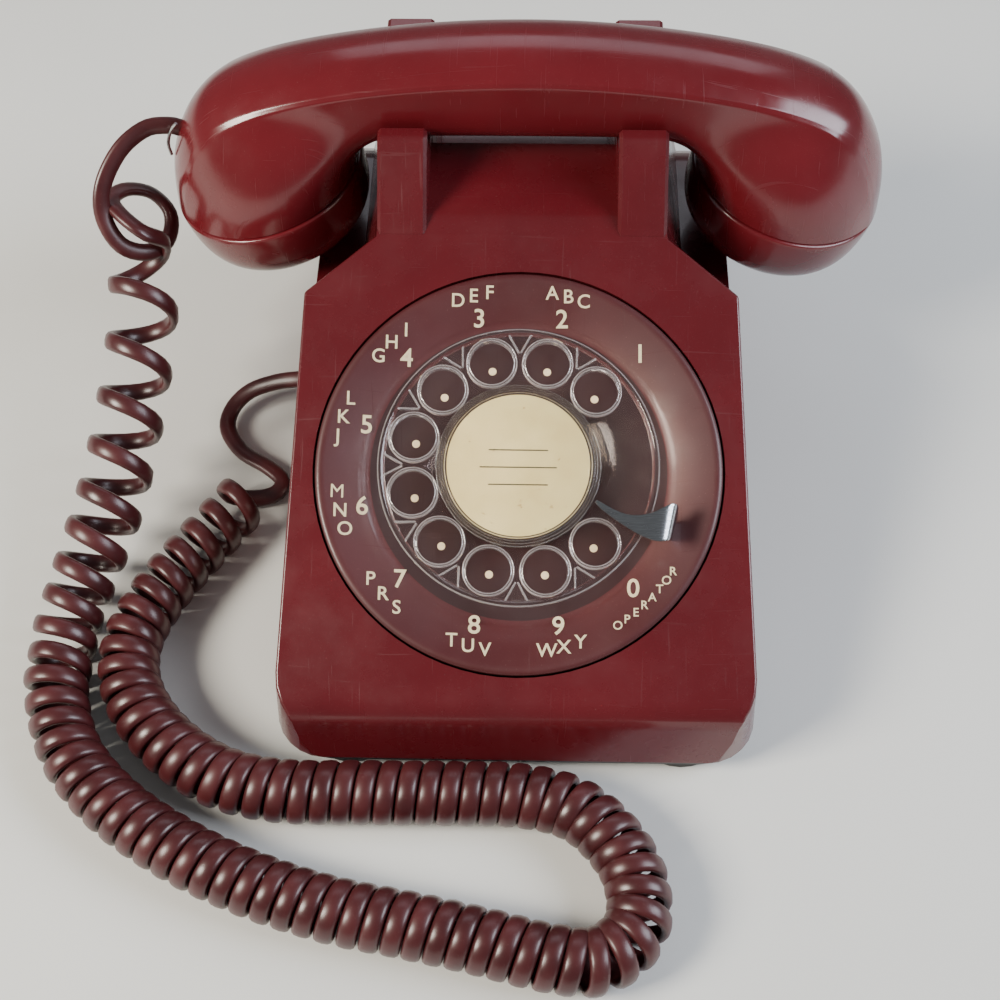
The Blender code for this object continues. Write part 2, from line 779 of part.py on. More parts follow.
def hook_bracket():
    """Bent steel bracket on the base plate that holds the lever's pin."""
    x, y, z = 22 * MM, LEVER_PIVOT.y, LEVER_PIVOT.z
    outline = [(y - 8 * MM, CHASSIS_LOW), (y + 8 * MM, CHASSIS_LOW), (y + 5 * MM, z + 4 * MM), (y - 5 * MM, z + 4 * MM)]
    solid = None
    for side in (-1, 1):
        cheek = place(side_prism("cheek", outline, 0.8 * MM), Matrix.Translation((side * x, 0, 0)))
        solid = join(solid, cheek) if solid else cheek
    foot = block("foot", (-x, y - 8 * MM, CHASSIS_LOW), (x, y + 8 * MM, CHASSIS_LOW + 1.5 * MM))
    solid = join(solid, foot)
    eye = cylinder("eye", LEVER_PIN_R + 0.08 * MM, -40 * MM, 40 * MM, steps=16)
    place(eye, Matrix.Translation(LEVER_PIVOT) @ Matrix.Rotation(math.pi / 2, 4, "Y"))
    return keep(cut(solid, eye), "hook_bracket", ZINC)


def hook_contacts():
    """Stack of contact springs held between the cheeks of the bracket."""
    solid = block("hook_contacts", (-20.8 * MM, 24 * MM, 46 * MM), (20.8 * MM, 36 * MM, 53 * MM))
    for i in range(3):
        x = (i - 1) * 8 * MM
        leaf = block("leaf", (x - 1.4 * MM, 35 * MM, 49 * MM), (x + 1.4 * MM, 52 * MM, 49.8 * MM))
        solid = join(solid, leaf)
    return keep(solid, "hook_contacts", PHENOLIC)


CHASSIS_LOW = PLATE_BOTTOM + PLATE_THICK + GAP
GONG_R = 19 * MM
GONG_Y = 80 * MM
GONG_Z = 22.5 * MM
CLAPPER_PIVOT = Vector((0, 66 * MM, 16.5 * MM))


def gongs():
    for name, x, radius in (("left_gong", -26 * MM, GONG_R), ("right_gong", 26 * MM, GONG_R - 1 * MM)):
        profile = [
            (0, 9 * MM),
            (radius * 0.55, 8.6 * MM),
            (radius * 0.9, 5 * MM),
            (radius, 0),
            (radius - 1.2 * MM, 0),
            (radius * 0.9 - 1.3 * MM, 4.2 * MM),
            (radius * 0.55 - 0.4 * MM, 7.4 * MM),
            (0, 7.6 * MM),
        ]
        bell = turned(name, profile, steps=32)
        place(bell, Matrix.Translation((x, GONG_Y, GONG_Z)))
        keep(bell, name, BRASS)


def ringer_frame():
    """Pressed frame with a post under each gong and a yoke for the coil."""
    solid = block("ringer_frame", (-46 * MM, 56 * MM, CHASSIS_LOW), (46 * MM, 92 * MM, CHASSIS_LOW + 1.6 * MM))
    for x in (-26 * MM, 26 * MM):
        post = cylinder("post", 3 * MM, CHASSIS_LOW, GONG_Z + 7.6 * MM - GAP, steps=16, at=(x, GONG_Y))
        solid = join(solid, post)
    yoke = block("yoke", (-3 * MM, 57 * MM, CHASSIS_LOW), (3 * MM, 59.5 * MM, 26 * MM))
    return keep(join(solid, yoke), "ringer_frame", ZINC)


def ringer_coil():
    solid = cylinder("ringer_coil", 7 * MM, -17 * MM, 17 * MM, steps=24)
    for low, high in ((-18.4 * MM, -16.6 * MM), (16.6 * MM, 18.4 * MM)):
        solid = join(solid, cylinder("flange", 8.4 * MM, low, high, steps=24))
    turn = Matrix.Translation((0, 46 * MM, 19 * MM)) @ Matrix.Rotation(math.pi / 2, 4, "Y")
    return keep(place(solid, turn), "ringer_coil", ENAMEL_WIRE)


def clapper():
    """Striker on an upright pin, with its ball between the two gongs."""
    x, y, z = CLAPPER_PIVOT
    hub = cylinder("clapper", 2.6 * MM, z - 3 * MM, z + 8 * MM, steps=16, at=(x, y))
    rod = block("rod", (-0.7 * MM, y, z + 5 * MM), (0.7 * MM, GONG_Y + 1 * MM, z + 6.4 * MM))
    shape = bmesh.new()
    bmesh.ops.create_uvsphere(shape, u_segments=12, v_segments=8, radius=2.6 * MM)
    bmesh.ops.translate(shape, vec=(0, GONG_Y + 1 * MM, z + 5.7 * MM), verts=shape.verts)
    ball = from_bmesh("ball", shape)
    return pivot(keep(join(join(hub, rod), ball), "clapper", BRASS), CLAPPER_PIVOT)


def volume_wheel():
    """Thumbwheel in the underside that sets the loudness of the ringer."""
    profile = [
        (0, CHASSIS_LOW + 2.6 * MM),
        (VOLUME_R, CHASSIS_LOW + 2.6 * MM),
        (VOLUME_R, CHASSIS_LOW),
        (VOLUME_R - 4.6 * MM, CHASSIS_LOW),
        (VOLUME_R - 4.6 * MM, PLATE_BOTTOM - 1 * MM),
        (0, PLATE_BOTTOM - 1 * MM),
    ]
    wheel = turned("volume_wheel", profile, steps=32)
    grip = block("grip", (-7 * MM, -1 * MM, PLATE_BOTTOM - 2.6 * MM), (7 * MM, 1 * MM, PLATE_BOTTOM))
    wheel = join(wheel, grip)
    keep(wheel, "volume_wheel", GREY_PLASTIC).location = (*VOLUME_AT, 0)
    return wheel


def network_block():
    """Potted speech network with a row of screw terminals."""
    low = (-58 * MM, -30 * MM, CHASSIS_LOW)
    high = (-26 * MM, 18 * MM, CHASSIS_LOW + 17 * MM)
    solid = soften(block("network_block", low, high), 1 * MM, segments=1)
    for i in range(5):
        y = -24 * MM + i * 9 * MM
        terminal = cylinder("terminal", 2.2 * MM, high[2] - 1 * MM, high[2] + 2.4 * MM, steps=10, at=(-31 * MM, y))
        solid = join(solid, terminal)
    return keep(solid, "network_block", GREY_PAINT)


def handset_jack():
    """Insulating block in the left wall that the curly cord plugs into."""
    x = -67 * MM
    solid = block("jack", (x - 1.6 * MM, JACK_Y - 5.6 * MM, CHASSIS_LOW), (-54 * MM, JACK_Y + 5.6 * MM, JACK_Z + 4.6 * MM))
    return keep(solid, "handset_jack", BLACK_PLASTIC)


def line_inlet():
    """Grommet in the back wall for the line cord."""
    profile = [
        (6.6 * MM, 1.4 * MM),
        (6.6 * MM, 0),
        (4.3 * MM, 0),
        (4.3 * MM, -5 * MM),
        (INLET_R, -5 * MM),
        (INLET_R, 1.4 * MM),
    ]
    solid = turned("line_inlet", profile, steps=24)
    turn = Matrix.Translation((INLET_X, BACK + 0.2 * MM, INLET_Z)) @ Matrix.Rotation(-math.pi / 2, 4, "X")
    return keep(place(solid, turn), "line_inlet", BLACK_PLASTIC)


# ---------------------------------------------------------------- handset


def handle_section(x, top, low, half_top, half_low, crown):
    """Section across the handle from its top round the back: crowned top, flat sides, round underside."""
    side_top = top - crown
    height = side_top - low
    back = [
        (0, top),
        (half_top * 0.33, top - crown * 0.1),
        (half_top * 0.66, top - crown * 0.42),
        (half_top - 0.9 * MM, side_top + height * 0.02),
        (half_top, side_top - height * 0.04),
        (half_top + (half_low - half_top) * 0.4, side_top - height * 0.3),
        (half_low, side_top - height * 0.56),
        (half_low - 0.5 * MM, low + height * 0.22),
        (half_low - 2.6 * MM, low + height * 0.08),
        (half_low * 0.62, low + height * 0.015),
        (half_low * 0.32, low),
        (0, low),
    ]
    front = [(-y, z) for y, z in reversed(back[1:-1])]
    return [Vector((x, HANDSET_Y + y, z)) for y, z in back + front]


# Angles round a cup that match the points of a handle section, from the outer end round the back.
CUP_ANGLES = (0, 9, 19, 28, 33, 52, 76, 100, 124, 145, 164, 180)
HANDLE_SECTIONS = (
    (26 * MM, (122.4 * MM, 95.4 * MM, 15 * MM, 15 * MM, 5 * MM)),
    (13 * MM, (123.2 * MM, 95.4 * MM, 15 * MM, 15 * MM, 5 * MM)),
    (0, (123.5 * MM, 95.4 * MM, 15 * MM, 15 * MM, 5 * MM)),
)
# Side view of one end: outer line from the cap's seam up over the corner, and inner line under the handle.
OUTER_LINE = (
    (113.5, 64.5),
    (113.2, 75),
    (110.4, 86),
    (105.8, 95.6),
    (100.2, 102.8),
    (92.5, 107.6),
    (80, 112.6),
    (63, 117),
    (44, 120.6),
)
INNER_LINE = (
    (52.9, 78.5),
    (52.7, 81.4),
    (52.2, 84.2),
    (51.2, 87),
    (49.6, 89.6),
    (47.4, 91.8),
    (44.6, 93.6),
    (41, 94.8),
    (37, 95.3),
)


def cup_centre(side):
    return Vector((side * CAP_X, HANDSET_Y, CAP_Z))


def cup_ring(side, radius, depth):
    """A circle in the plane of the cap's seam, moved along the cup's axis."""
    axis = Vector((side * math.sin(CAP_TILT), 0, math.cos(CAP_TILT)))
    outward = Vector((side * math.cos(CAP_TILT), 0, -math.sin(CAP_TILT)))
    centre = cup_centre(side) + axis * depth
    angles = [math.radians(a) for a in CUP_ANGLES + tuple(360 - a for a in CUP_ANGLES[-2:0:-1])]
    return [centre + outward * radius * math.cos(a) + Vector((0, radius * math.sin(a), 0)) for a in angles]


def end_section(side, step):
    """Section through one end, on the line from the outer side to the inner side at this step."""
    share = step / (len(OUTER_LINE) - 1)
    outer, inner = OUTER_LINE[step], INNER_LINE[step]
    circle = cup_ring(side, CAP_R - 0.4 * MM, 0)
    handle = handle_section(0, 1, 0, 15 * MM, 15 * MM, 0.19)
    far, near = circle[0], circle[len(CUP_ANGLES) - 1]
    swell = share * share * (3 - 2 * share)
    found = []
    for a, b in zip(circle, handle):
        along_circle = (a.x - far.x) / (near.x - far.x)
        along = along_circle * (1 - share) + (1 - b.z) * share
        x = outer[0] + (inner[0] - outer[0]) * along
        z = outer[1] + (inner[1] - outer[1]) * along
        found.append(Vector((side * x * MM, a.y * (1 - swell) + b.y * swell, z * MM)))
    return found


def handset_body():
    """Handle and both cups as one moulding, lofted through sections that turn into the cups."""
    steps = range(len(OUTER_LINE))
    left = [end_section(-1, step) for step in steps]
    left += [handle_section(-x, *sizes) for x, sizes in HANDLE_SECTIONS]
    right = [end_section(1, step) for step in steps]
    right += [handle_section(x, *sizes) for x, sizes in HANDLE_SECTIONS[:-1]]
    return loft("handset_shell", left + right[::-1])


def handset_shell():
    solid = handset_body()
    for side in (-1, 1):
        hollow = [
            cup_ring(side, CAP_R - 3 * MM, -5 * MM),
            cup_ring(side, CAP_R - 3 * MM, 7 * MM),
            cup_ring(side, CAP_R - 9 * MM, 13 * MM),
        ]
        solid = cut(solid, loft("cup_hollow", hollow))
    return keep(solid, "handset_shell", MAROON, HANDSET_FRAME)


def cap_profile():
    """Screwed neck inside the cup, then the visible cap: straight side, round edge, nearly flat end."""
    outside = ((4, -5), (4, 0.3), (0.4, 0.3), (0, 1), (0.4, 9), (1.9, 15.5), (5.2, 20), (11, 23))
    inside = ((11.5, 20.4), (7.8, 17.4), (6.2, 12), (6.2, -5))
    profile = [(CAP_R - x * MM, -depth * MM) for x, depth in outside]
    profile += [(0, -CAP_DEPTH), (0, -CAP_DEPTH + 2.4 * MM)]
    return profile + [(CAP_R - x * MM, -depth * MM) for x, depth in inside]


def cap_matrix(side):
    return Matrix.Translation(cup_centre(side)) @ Matrix.Rotation(side * CAP_TILT, 4, "Y")


def handset_caps():
    for name, side in (("mouthpiece_cap", -1), ("earpiece_cap", 1)):
        cap = turned(name, cap_profile(), steps=36)
        holes = cylinder("hole", 1.3 * MM, -26 * MM, -14 * MM, steps=8)
        cap = cut(cap, holes)
        for i in range(6):
            angle = math.pi / 3 * i
            at = (6 * MM * math.cos(angle), 6 * MM * math.sin(angle))
            cap = cut(cap, cylinder("hole", 1.3 * MM, -26 * MM, -14 * MM, steps=8, at=at))
        keep(place(cap, cap_matrix(side)), name, MAROON, HANDSET_FRAME)


def capsules():
    for name, side in (("transmitter", -1), ("receiver", 1)):
        profile = [
            (0, 3 * MM),
            (14 * MM, 3 * MM),
            (22.5 * MM, 0),
            (23 * MM, -6 * MM),
            (18 * MM, -10.5 * MM),
            (0, -12 * MM),
        ]
        unit = turned(name, profile, steps=32)
        keep(place(unit, cap_matrix(side)), name, ALUMINIUM, HANDSET_FRAME)
    profile = [(0, 9 * MM), (18 * MM, 9 * MM), (19 * MM, 3.6 * MM), (17.4 * MM, 3.6 * MM), (16.6 * MM, 7 * MM), (0, 7 * MM)]
    cup = turned("transmitter_cup", profile, steps=32)
    keep(place(cup, cap_matrix(-1)), "transmitter_cup", GREY_PLASTIC, HANDSET_FRAME)


EXIT = Vector((-109.8 * MM, HANDSET_Y, 88.2 * MM))


def cord_hook():
    """Steel wire hook that takes the strain of the cord at the handset's end."""
    points = [EXIT + Vector(p) * MM for p in ((1.4, -3.6, 5.4), (-1, -3.6, 2), (-2.6, -3.6, -3), (-2.4, -3.6, -7.4))]
    return keep(tube("cord_hook", smooth_path(points, 1.6 * MM), 0.55 * MM), "cord_hook", STEEL, HANDSET_FRAME)


# ---------------------------------------------------------------- cord


# Straight lead out of the handset, down to where the coil starts.
LEAD_ROUTE = (
    (-108.6, 65, 88.6),
    (-113, 65, 90.1),
    (-118.5, 64.6, 89.9),
    (-125, 62.3, 86.6),
    (-130.5, 56, 79),
    (-131.5, 48, 70),
    (-127, 42.5, 64.2),
)
# Middle of the coiled stretch that hangs from the lead down to the table.
HANGING_ROUTE = (
    (-123.5, 40, 61),
    (-120.5, 28, 54),
    (-121, 10, 45),
    (-123.5, -12, 35),
    (-127.5, -34, 25.5),
    (-133.5, -54, 17),
    (-137.5, -69, 12),
)
# Middle of the coiled stretch on the table: outer run, bend at the right, inner run.
TABLE_ROUTE = (
    (-138.2, -79, 10),
    (-137.5, -93, 9.4),
    (-129.5, -112, 9.4),
    (-114, -128, 9.4),
    (-93, -141, 9.4),
    (-72, -150, 9.4),
    (-50, -156.5, 9.4),
    (-28, -160.5, 9.4),
    (-8, -164.5, 9.4),
    (10, -168.5, 9.4),
    (24, -169, 9.4),
    (34, -160, 9.4),
    (34, -146, 9.4),
    (27, -134, 9.4),
    (16, -125.5, 9.4),
    (0, -122.2, 9.4),
    (-20, -122, 9.4),
    (-45, -122.2, 9.4),
    (-68, -122, 9.4),
    (-87, -117.5, 9.4),
    (-104, -106, 9.4),
    (-115, -91, 9.4),
    (-117.5, -75, 9.4),
    (-112, -58, 9.4),
    (-102.5, -42, 9.4),
    (-93, -27.5, 9.4),
    (-89, -21, 9.4),
)
# Straight tail from the coil's end into the jack in the left wall.
TAIL_ROUTE = (
    (-86, -16.5, 8),
    (-84, -10, 6.5),
    (-88, -3, 5),
    (-95, 5, 4),
    (-98.5, 14, 5),
    (-95.5, 21.5, 8),
    (-87, 24.5, 11.5),
    (-77, 24.2, 14),
    (-69.2, 24, 14.5),
)


def metres(route):
    return [Vector(point) * MM for point in route]


def split_path(path, index):
    """Two paths that end face to face at a point, a small gap apart."""
    along = (path[index + 1] - path[index - 1]).normalized()
    stub = 1.5 * MM
    first = path[:index] + [path[index] - along * stub, path[index] - along * GAP / 2]
    second = [path[index] + along * GAP / 2, path[index] + along * stub] + path[index + 1 :]
    return first, second


def cords():
    coil = smooth_path(metres(HANGING_ROUTE + TABLE_ROUTE), 11 * MM)
    joint = min(range(len(coil)), key=lambda i: (coil[i] - Vector(TABLE_ROUTE[0]) * MM).length)
    hanging, lying = split_path(coil, joint)
    for name, path, radius in (
        ("cord_lead", smooth_path(metres(LEAD_ROUTE), 5.5 * MM), CORD_R),
        ("cord_coil_hanging", hanging, COIL_R),
        ("cord_coil_on_table", lying, COIL_R),
        ("cord_tail", smooth_path(metres(TAIL_ROUTE), 5.5 * MM), CORD_R),
    ):
        keep(tube(name, path, radius), name, CORD_VINYL)


# ---------------------------------------------------------------- assembly


clear_scene()
PARTS = collection("rotary_telephone")
CUTTERS = collection("cutters")
MAROON = material("maroon_abs", (0.10, 0.012, 0.018), 0.25)
CORD_VINYL = material("maroon_vinyl", (0.09, 0.014, 0.018), 0.4)
CLEAR = material("clear_acrylic", (0.8, 0.78, 0.75), 0.1, alpha=0.35)
CLEAR_GREY = material("clear_plunger", (0.6, 0.6, 0.58), 0.2, alpha=0.6)
PAPER = material("card_paper", (0.62, 0.57, 0.40), 0.8)
STEEL = material("bright_steel", (0.6, 0.6, 0.6), 0.25, 1.0)
BLACK_STEEL = material("black_painted_steel", (0.02, 0.02, 0.02), 0.5)
ZINC = material("zinc_plated_steel", (0.45, 0.45, 0.42), 0.45, 1.0)
BRASS = material("brass", (0.6, 0.42, 0.16), 0.3, 1.0)
RUBBER = material("black_rubber", (0.02, 0.02, 0.02), 0.8)
PHENOLIC = material("phenolic", (0.12, 0.05, 0.02), 0.5)
ENAMEL_WIRE = material("enamelled_wire", (0.3, 0.09, 0.03), 0.4)
GREY_PLASTIC = material("grey_plastic", (0.3, 0.3, 0.3), 0.5)
GREY_PAINT = material("grey_paint", (0.2, 0.2, 0.22), 0.5)
BLACK_PLASTIC = material("black_plastic", (0.02, 0.02, 0.02), 0.4)
ALUMINIUM = material("aluminium", (0.6, 0.6, 0.6), 0.35, 1.0)

DIAL_FRAME = empty("dial_frame", DIAL, (FACE_TILT, 0, 0))
HANDSET_FRAME = empty("handset_frame", (HANDSET_X, 0, 0))

housing()
base_plate()
feet()
housing_screws()
dial_plate()
dial_cup()
fingerwheel()
dial_shaft()
number_card()
card_retainer()
main_gear()
governor()
pulse_contacts()
finger_stop()
plungers()
hook_lever()
hook_bracket()
hook_contacts()
gongs()
ringer_frame()
ringer_coil()
clapper()
volume_wheel()
network_block()
handset_jack()
line_inlet()
handset_shell()
handset_caps()
capsules()
cord_hook()
cords()
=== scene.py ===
"""Looks of a rotary telephone: camera and light, curly cord, moulded shells, dial and its lettering."""

import json
import math

import bmesh
import bpy
from mathutils import Matrix, Vector


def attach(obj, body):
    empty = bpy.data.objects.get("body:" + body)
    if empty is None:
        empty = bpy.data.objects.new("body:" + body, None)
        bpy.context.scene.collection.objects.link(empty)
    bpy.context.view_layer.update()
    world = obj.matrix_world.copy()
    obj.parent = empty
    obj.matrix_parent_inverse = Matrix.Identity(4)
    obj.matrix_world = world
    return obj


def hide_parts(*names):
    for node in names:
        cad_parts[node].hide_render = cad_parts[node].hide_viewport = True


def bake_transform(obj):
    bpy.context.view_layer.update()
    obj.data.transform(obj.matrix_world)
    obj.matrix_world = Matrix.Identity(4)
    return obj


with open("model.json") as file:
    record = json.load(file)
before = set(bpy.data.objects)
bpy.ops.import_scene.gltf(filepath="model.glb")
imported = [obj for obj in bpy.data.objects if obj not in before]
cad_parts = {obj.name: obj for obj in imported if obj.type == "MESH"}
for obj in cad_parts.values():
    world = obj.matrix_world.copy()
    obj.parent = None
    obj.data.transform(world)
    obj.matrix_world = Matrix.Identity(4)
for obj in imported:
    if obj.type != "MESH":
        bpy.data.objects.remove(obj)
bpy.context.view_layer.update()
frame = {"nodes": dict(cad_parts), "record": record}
NODES = frame["nodes"]

MM = 0.001
DIAL = Vector((0, -41.8 * MM, 56.9 * MM))
FACE_TILT = math.radians(24)
DIAL_MATRIX = Matrix.Translation(DIAL) @ Matrix.Rotation(FACE_TILT, 4, "X")
WHEEL_R = 40.5 * MM
WHEEL_TOP = 7.4 * MM
HOLE_CIRCLE_R = 31.2 * MM
HOLE_R = 6.4 * MM
PLATE_FLAT = -3.2 * MM
# The finger holes go round against the clock from the 1, in degrees.
FIRST_HOLE, HOLE_STEP = 45, 30
HOLE_ANGLES = [math.radians(FIRST_HOLE + HOLE_STEP * i) for i in range(10)]
# The number ring's sloping band: inner and outer edge, and their heights, in millimetres.
BAND_IN, BAND_LOW = 46.1, -2.05
BAND_OUT, BAND_TOP = 56.4, 0.35
# Height of the built-in typeface's capitals at size 1.
CAPITAL_HEIGHT = 0.73


# ---------------------------------------------------------------- small helpers


def srgb(code):
    """A hex colour as the four linear values that a shader socket takes."""
    values = [int(code[i : i + 2], 16) / 255 for i in (1, 3, 5)]
    return (*(v / 12.92 if v < 0.04045 else ((v + 0.055) / 1.055) ** 2.4 for v in values), 1)


def deselect():
    """Leaves edit mode with nothing selected."""
    if bpy.context.mode != "OBJECT":
        bpy.ops.object.mode_set(mode="OBJECT")
    bpy.ops.object.select_all(action="DESELECT")


def choose(*objs):
    """Selects these objects alone and makes the last one active."""
    deselect()
    for obj in objs:
        obj.select_set(True)
    bpy.context.view_layer.objects.active = objs[-1]
    return objs[-1]


def modify(obj, kind, **settings):
    """Adds a modifier and applies it."""
    choose(obj)
    step = obj.modifiers.new(kind.lower(), kind)
    for name, value in settings.items():
        setattr(step, name, value)
    bpy.ops.object.modifier_apply(modifier=step.name)


def new_object(name):
    """An empty mesh and its object, linked to the scene."""
    mesh = bpy.data.meshes.new(name)
    obj = bpy.data.objects.new(name, mesh)
    bpy.context.scene.collection.objects.link(obj)
    return mesh, obj


def finish_piece(obj, name, surface, body, replaced=(), angle=40):
    """Names a finished piece, shades it, gives it its material and body, and hides the nodes that it
    replaces.

    A piece with no surface or no angle here has had its materials or its shading already."""
    choose(obj)
    bpy.ops.object.transform_apply(location=True, rotation=True, scale=True)
    obj.name = name
    obj.data.name = name
    if surface:
        obj.data.materials.clear()
        obj.data.materials.append(surface)
    if angle:
        bpy.ops.object.shade_smooth_by_angle(angle=math.radians(angle))
    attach(obj, body)
    if replaced:
        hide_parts(*replaced)
    deselect()


def merged_copy(node):
    """A copy of a CAD node with its loose triangles welded."""
    obj = bpy.data.objects.new(node + "_copy", NODES[node].data.copy())
    bpy.context.scene.collection.objects.link(obj)
    shape = bmesh.new()
    shape.from_mesh(obj.data)
    bmesh.ops.remove_doubles(shape, verts=shape.verts, dist=0.000004)
    bmesh.ops.dissolve_degenerate(shape, edges=shape.edges, dist=0.000004)
    shape.to_mesh(obj.data)
    shape.free()
    return obj


def profile_spin(name, profile, steps, matrix):
    """A closed outline of (radius, height) in millimetres, spun about Z, then put in place."""
    mesh, obj = new_object(name)
    shape = bmesh.new()
    corners = [shape.verts.new((r * MM, 0, z * MM)) for r, z in profile]
    edges = [shape.edges.new((a, b)) for a, b in zip(corners, corners[1:] + corners[:1])]
    bmesh.ops.spin(
        shape,
        geom=corners + edges,
        cent=(0, 0, 0),
        axis=(0, 0, 1),
        angle=2 * math.pi,
        steps=steps,
        use_merge=True,
    )
    bmesh.ops.remove_doubles(shape, verts=shape.verts, dist=0.000002)
    bmesh.ops.dissolve_degenerate(shape, edges=shape.edges, dist=0.000001)
    bmesh.ops.recalc_face_normals(shape, faces=shape.faces)
    shape.to_mesh(mesh)
    shape.free()
    mesh.transform(matrix)
    return obj


# ---------------------------------------------------------------- materials


NOISE = "ShaderNodeTexNoise"
RAMP = "ShaderNodeValToRGB"
MATH = "ShaderNodeMath"
VECTOR_MATH = "ShaderNodeVectorMath"
MAPPING = "ShaderNodeMapping"
MIX = "ShaderNodeMix"
BUMP = "ShaderNodeBump"


def add(tree, kind, inputs=None, stops=(), **settings):
    """Adds a node with its settings, a ramp's stops, and inputs that are values, sockets or nodes."""
    node = tree.nodes.new(kind)
    for name, value in settings.items():
        setattr(node, name, value)
    for name, value in (inputs or {}).items():
        if isinstance(value, bpy.types.Node):
            value = value.outputs[0]
        if isinstance(value, bpy.types.NodeSocket):
            tree.links.new(value, node.inputs[name])
        else:
            node.inputs[name].default_value = value
    if stops:
        for point, (place, colour) in zip(node.color_ramp.elements, stops):
            point.position = place
            point.color = colour
    return node


def new_material(name):
    """A material with an empty tree, and the Object coordinates that its patterns read."""
    made = bpy.data.materials.new(name)
    made.use_nodes = True
    tree = made.node_tree
    tree.nodes.clear()
    return made, tree, add(tree, "ShaderNodeTexCoord").outputs["Object"]


def give_surface(tree, inputs):
    """Ends a material's tree with its shader and its output."""
    shader = add(tree, "ShaderNodeBsdfPrincipled", inputs)
    add(tree, "ShaderNodeOutputMaterial", {"Surface": shader})


def grey(value):
    """A grey for a ramp that drives a number."""
    return (value, value, value, 1)


def moulded_abs(name, base, shade, dust, rough=0.26):
    """Injection moulded ABS, polished by hands: deep gloss, hair scratches, a little dust in the grain."""
    made, tree, place = new_material(name)
    # Clouding of the pigment, about 40 mm across.
    cloud = add(tree, NOISE, {"Vector": place, "Scale": 26.0, "Detail": 4.0, "Roughness": 0.55})
    tone = add(tree, RAMP, {"Fac": cloud}, stops=((0.3, srgb(shade)), (0.7, srgb(base))))
    # Dust specks of under half a millimetre.
    speck = add(tree, NOISE, {"Vector": place, "Scale": 2600.0, "Detail": 2.0, "Roughness": 0.7})
    dusty = add(tree, RAMP, {"Fac": speck}, stops=((0.66, grey(0)), (0.78, grey(0.28))))
    colour = add(tree, MIX, {"Factor": dusty, 6: tone, 7: srgb(dust)}, data_type="RGBA")
    # Hair scratches: stretched noise in two directions, bent a little, only in some patches.
    bend = add(tree, NOISE, {"Vector": place, "Scale": 18.0, "Detail": 1.0})
    reach = (0.006, 0.006, 0.006)
    bent = add(tree, VECTOR_MATH, {0: bend.outputs["Color"], 1: reach}, operation="MULTIPLY")
    moved = add(tree, VECTOR_MATH, {0: place, 1: bent}, operation="ADD")
    marks = []
    for turn, lean, scale in ((0.85, 0.3, (1500, 24, 60)), (2.35, 0.5, (30, 1300, 70))):
        turned = add(tree, MAPPING, {"Vector": moved, "Rotation": (lean, 0.2, turn), "Scale": scale})
        lines = add(tree, NOISE, {"Vector": turned, "Scale": 1.0, "Detail": 3.0})
        marks.append(add(tree, RAMP, {"Fac": lines}, stops=((0.67, grey(0)), (0.72, grey(1)))))
    both = add(tree, MATH, {0: marks[0], 1: marks[1]}, operation="MAXIMUM")
    # Handling leaves glossier and duller patches, and a scratch is duller than either.
    smear = add(tree, NOISE, {"Vector": place, "Scale": 60.0, "Detail": 5.0, "Roughness": 0.6})
    patch = add(tree, RAMP, {"Fac": smear}, stops=((0.35, grey(rough - 0.05)), (0.7, grey(rough + 0.1))))
    worn = add(tree, MATH, {0: both, 1: 0.16, 2: patch}, operation="MULTIPLY_ADD")
    grain = add(tree, NOISE, {"Vector": place, "Scale": 900.0, "Detail": 2.0})
    wave = add(tree, NOISE, {"Vector": place, "Scale": 45.0, "Detail": 1.0})
    fine = add(tree, MATH, {0: grain, 1: 0.1, 2: wave}, operation="MULTIPLY_ADD")
    cuts = add(tree, MATH, {0: both, 1: -0.15, 2: fine}, operation="MULTIPLY_ADD")
    relief = add(tree, BUMP, {"Height": cuts, "Strength": 0.12, "Distance": 0.0006})
    gloss = {"IOR": 1.53, "Coat Weight": 0.25, "Coat Roughness": 0.12}
    give_surface(tree, {"Base Color": colour.outputs[2], "Roughness": worn, "Normal": relief, **gloss})
    return made


def vinyl_jacket():
    """Extruded vinyl: softer gloss than the shells, cloudy pigment, and dust in the grooves."""
    made, tree, place = new_material("extruded_vinyl")
    cloud = add(tree, NOISE, {"Vector": place, "Scale": 90.0, "Detail": 4.0})
    tone = add(tree, RAMP, {"Fac": cloud}, stops=((0.3, srgb("#3A1618")), (0.7, srgb("#4C1D1F"))))
    speck = add(tree, NOISE, {"Vector": place, "Scale": 1800.0, "Detail": 3.0, "Roughness": 0.7})
    dust = add(tree, RAMP, {"Fac": speck}, stops=((0.62, grey(0)), (0.78, grey(0.25))))
    colour = add(tree, MIX, {"Factor": dust, 6: tone, 7: srgb("#8A6A66")}, data_type="RGBA")
    rough = add(tree, RAMP, {"Fac": cloud}, stops=((0.3, grey(0.3)), (0.7, grey(0.42))))
    relief = add(tree, BUMP, {"Height": speck, "Strength": 0.1, "Distance": 0.0002})
    gloss = {"IOR": 1.52, "Coat Weight": 0.15, "Coat Roughness": 0.25}
    give_surface(tree, {"Base Color": colour.outputs[2], "Roughness": rough, "Normal": relief, **gloss})
    return made


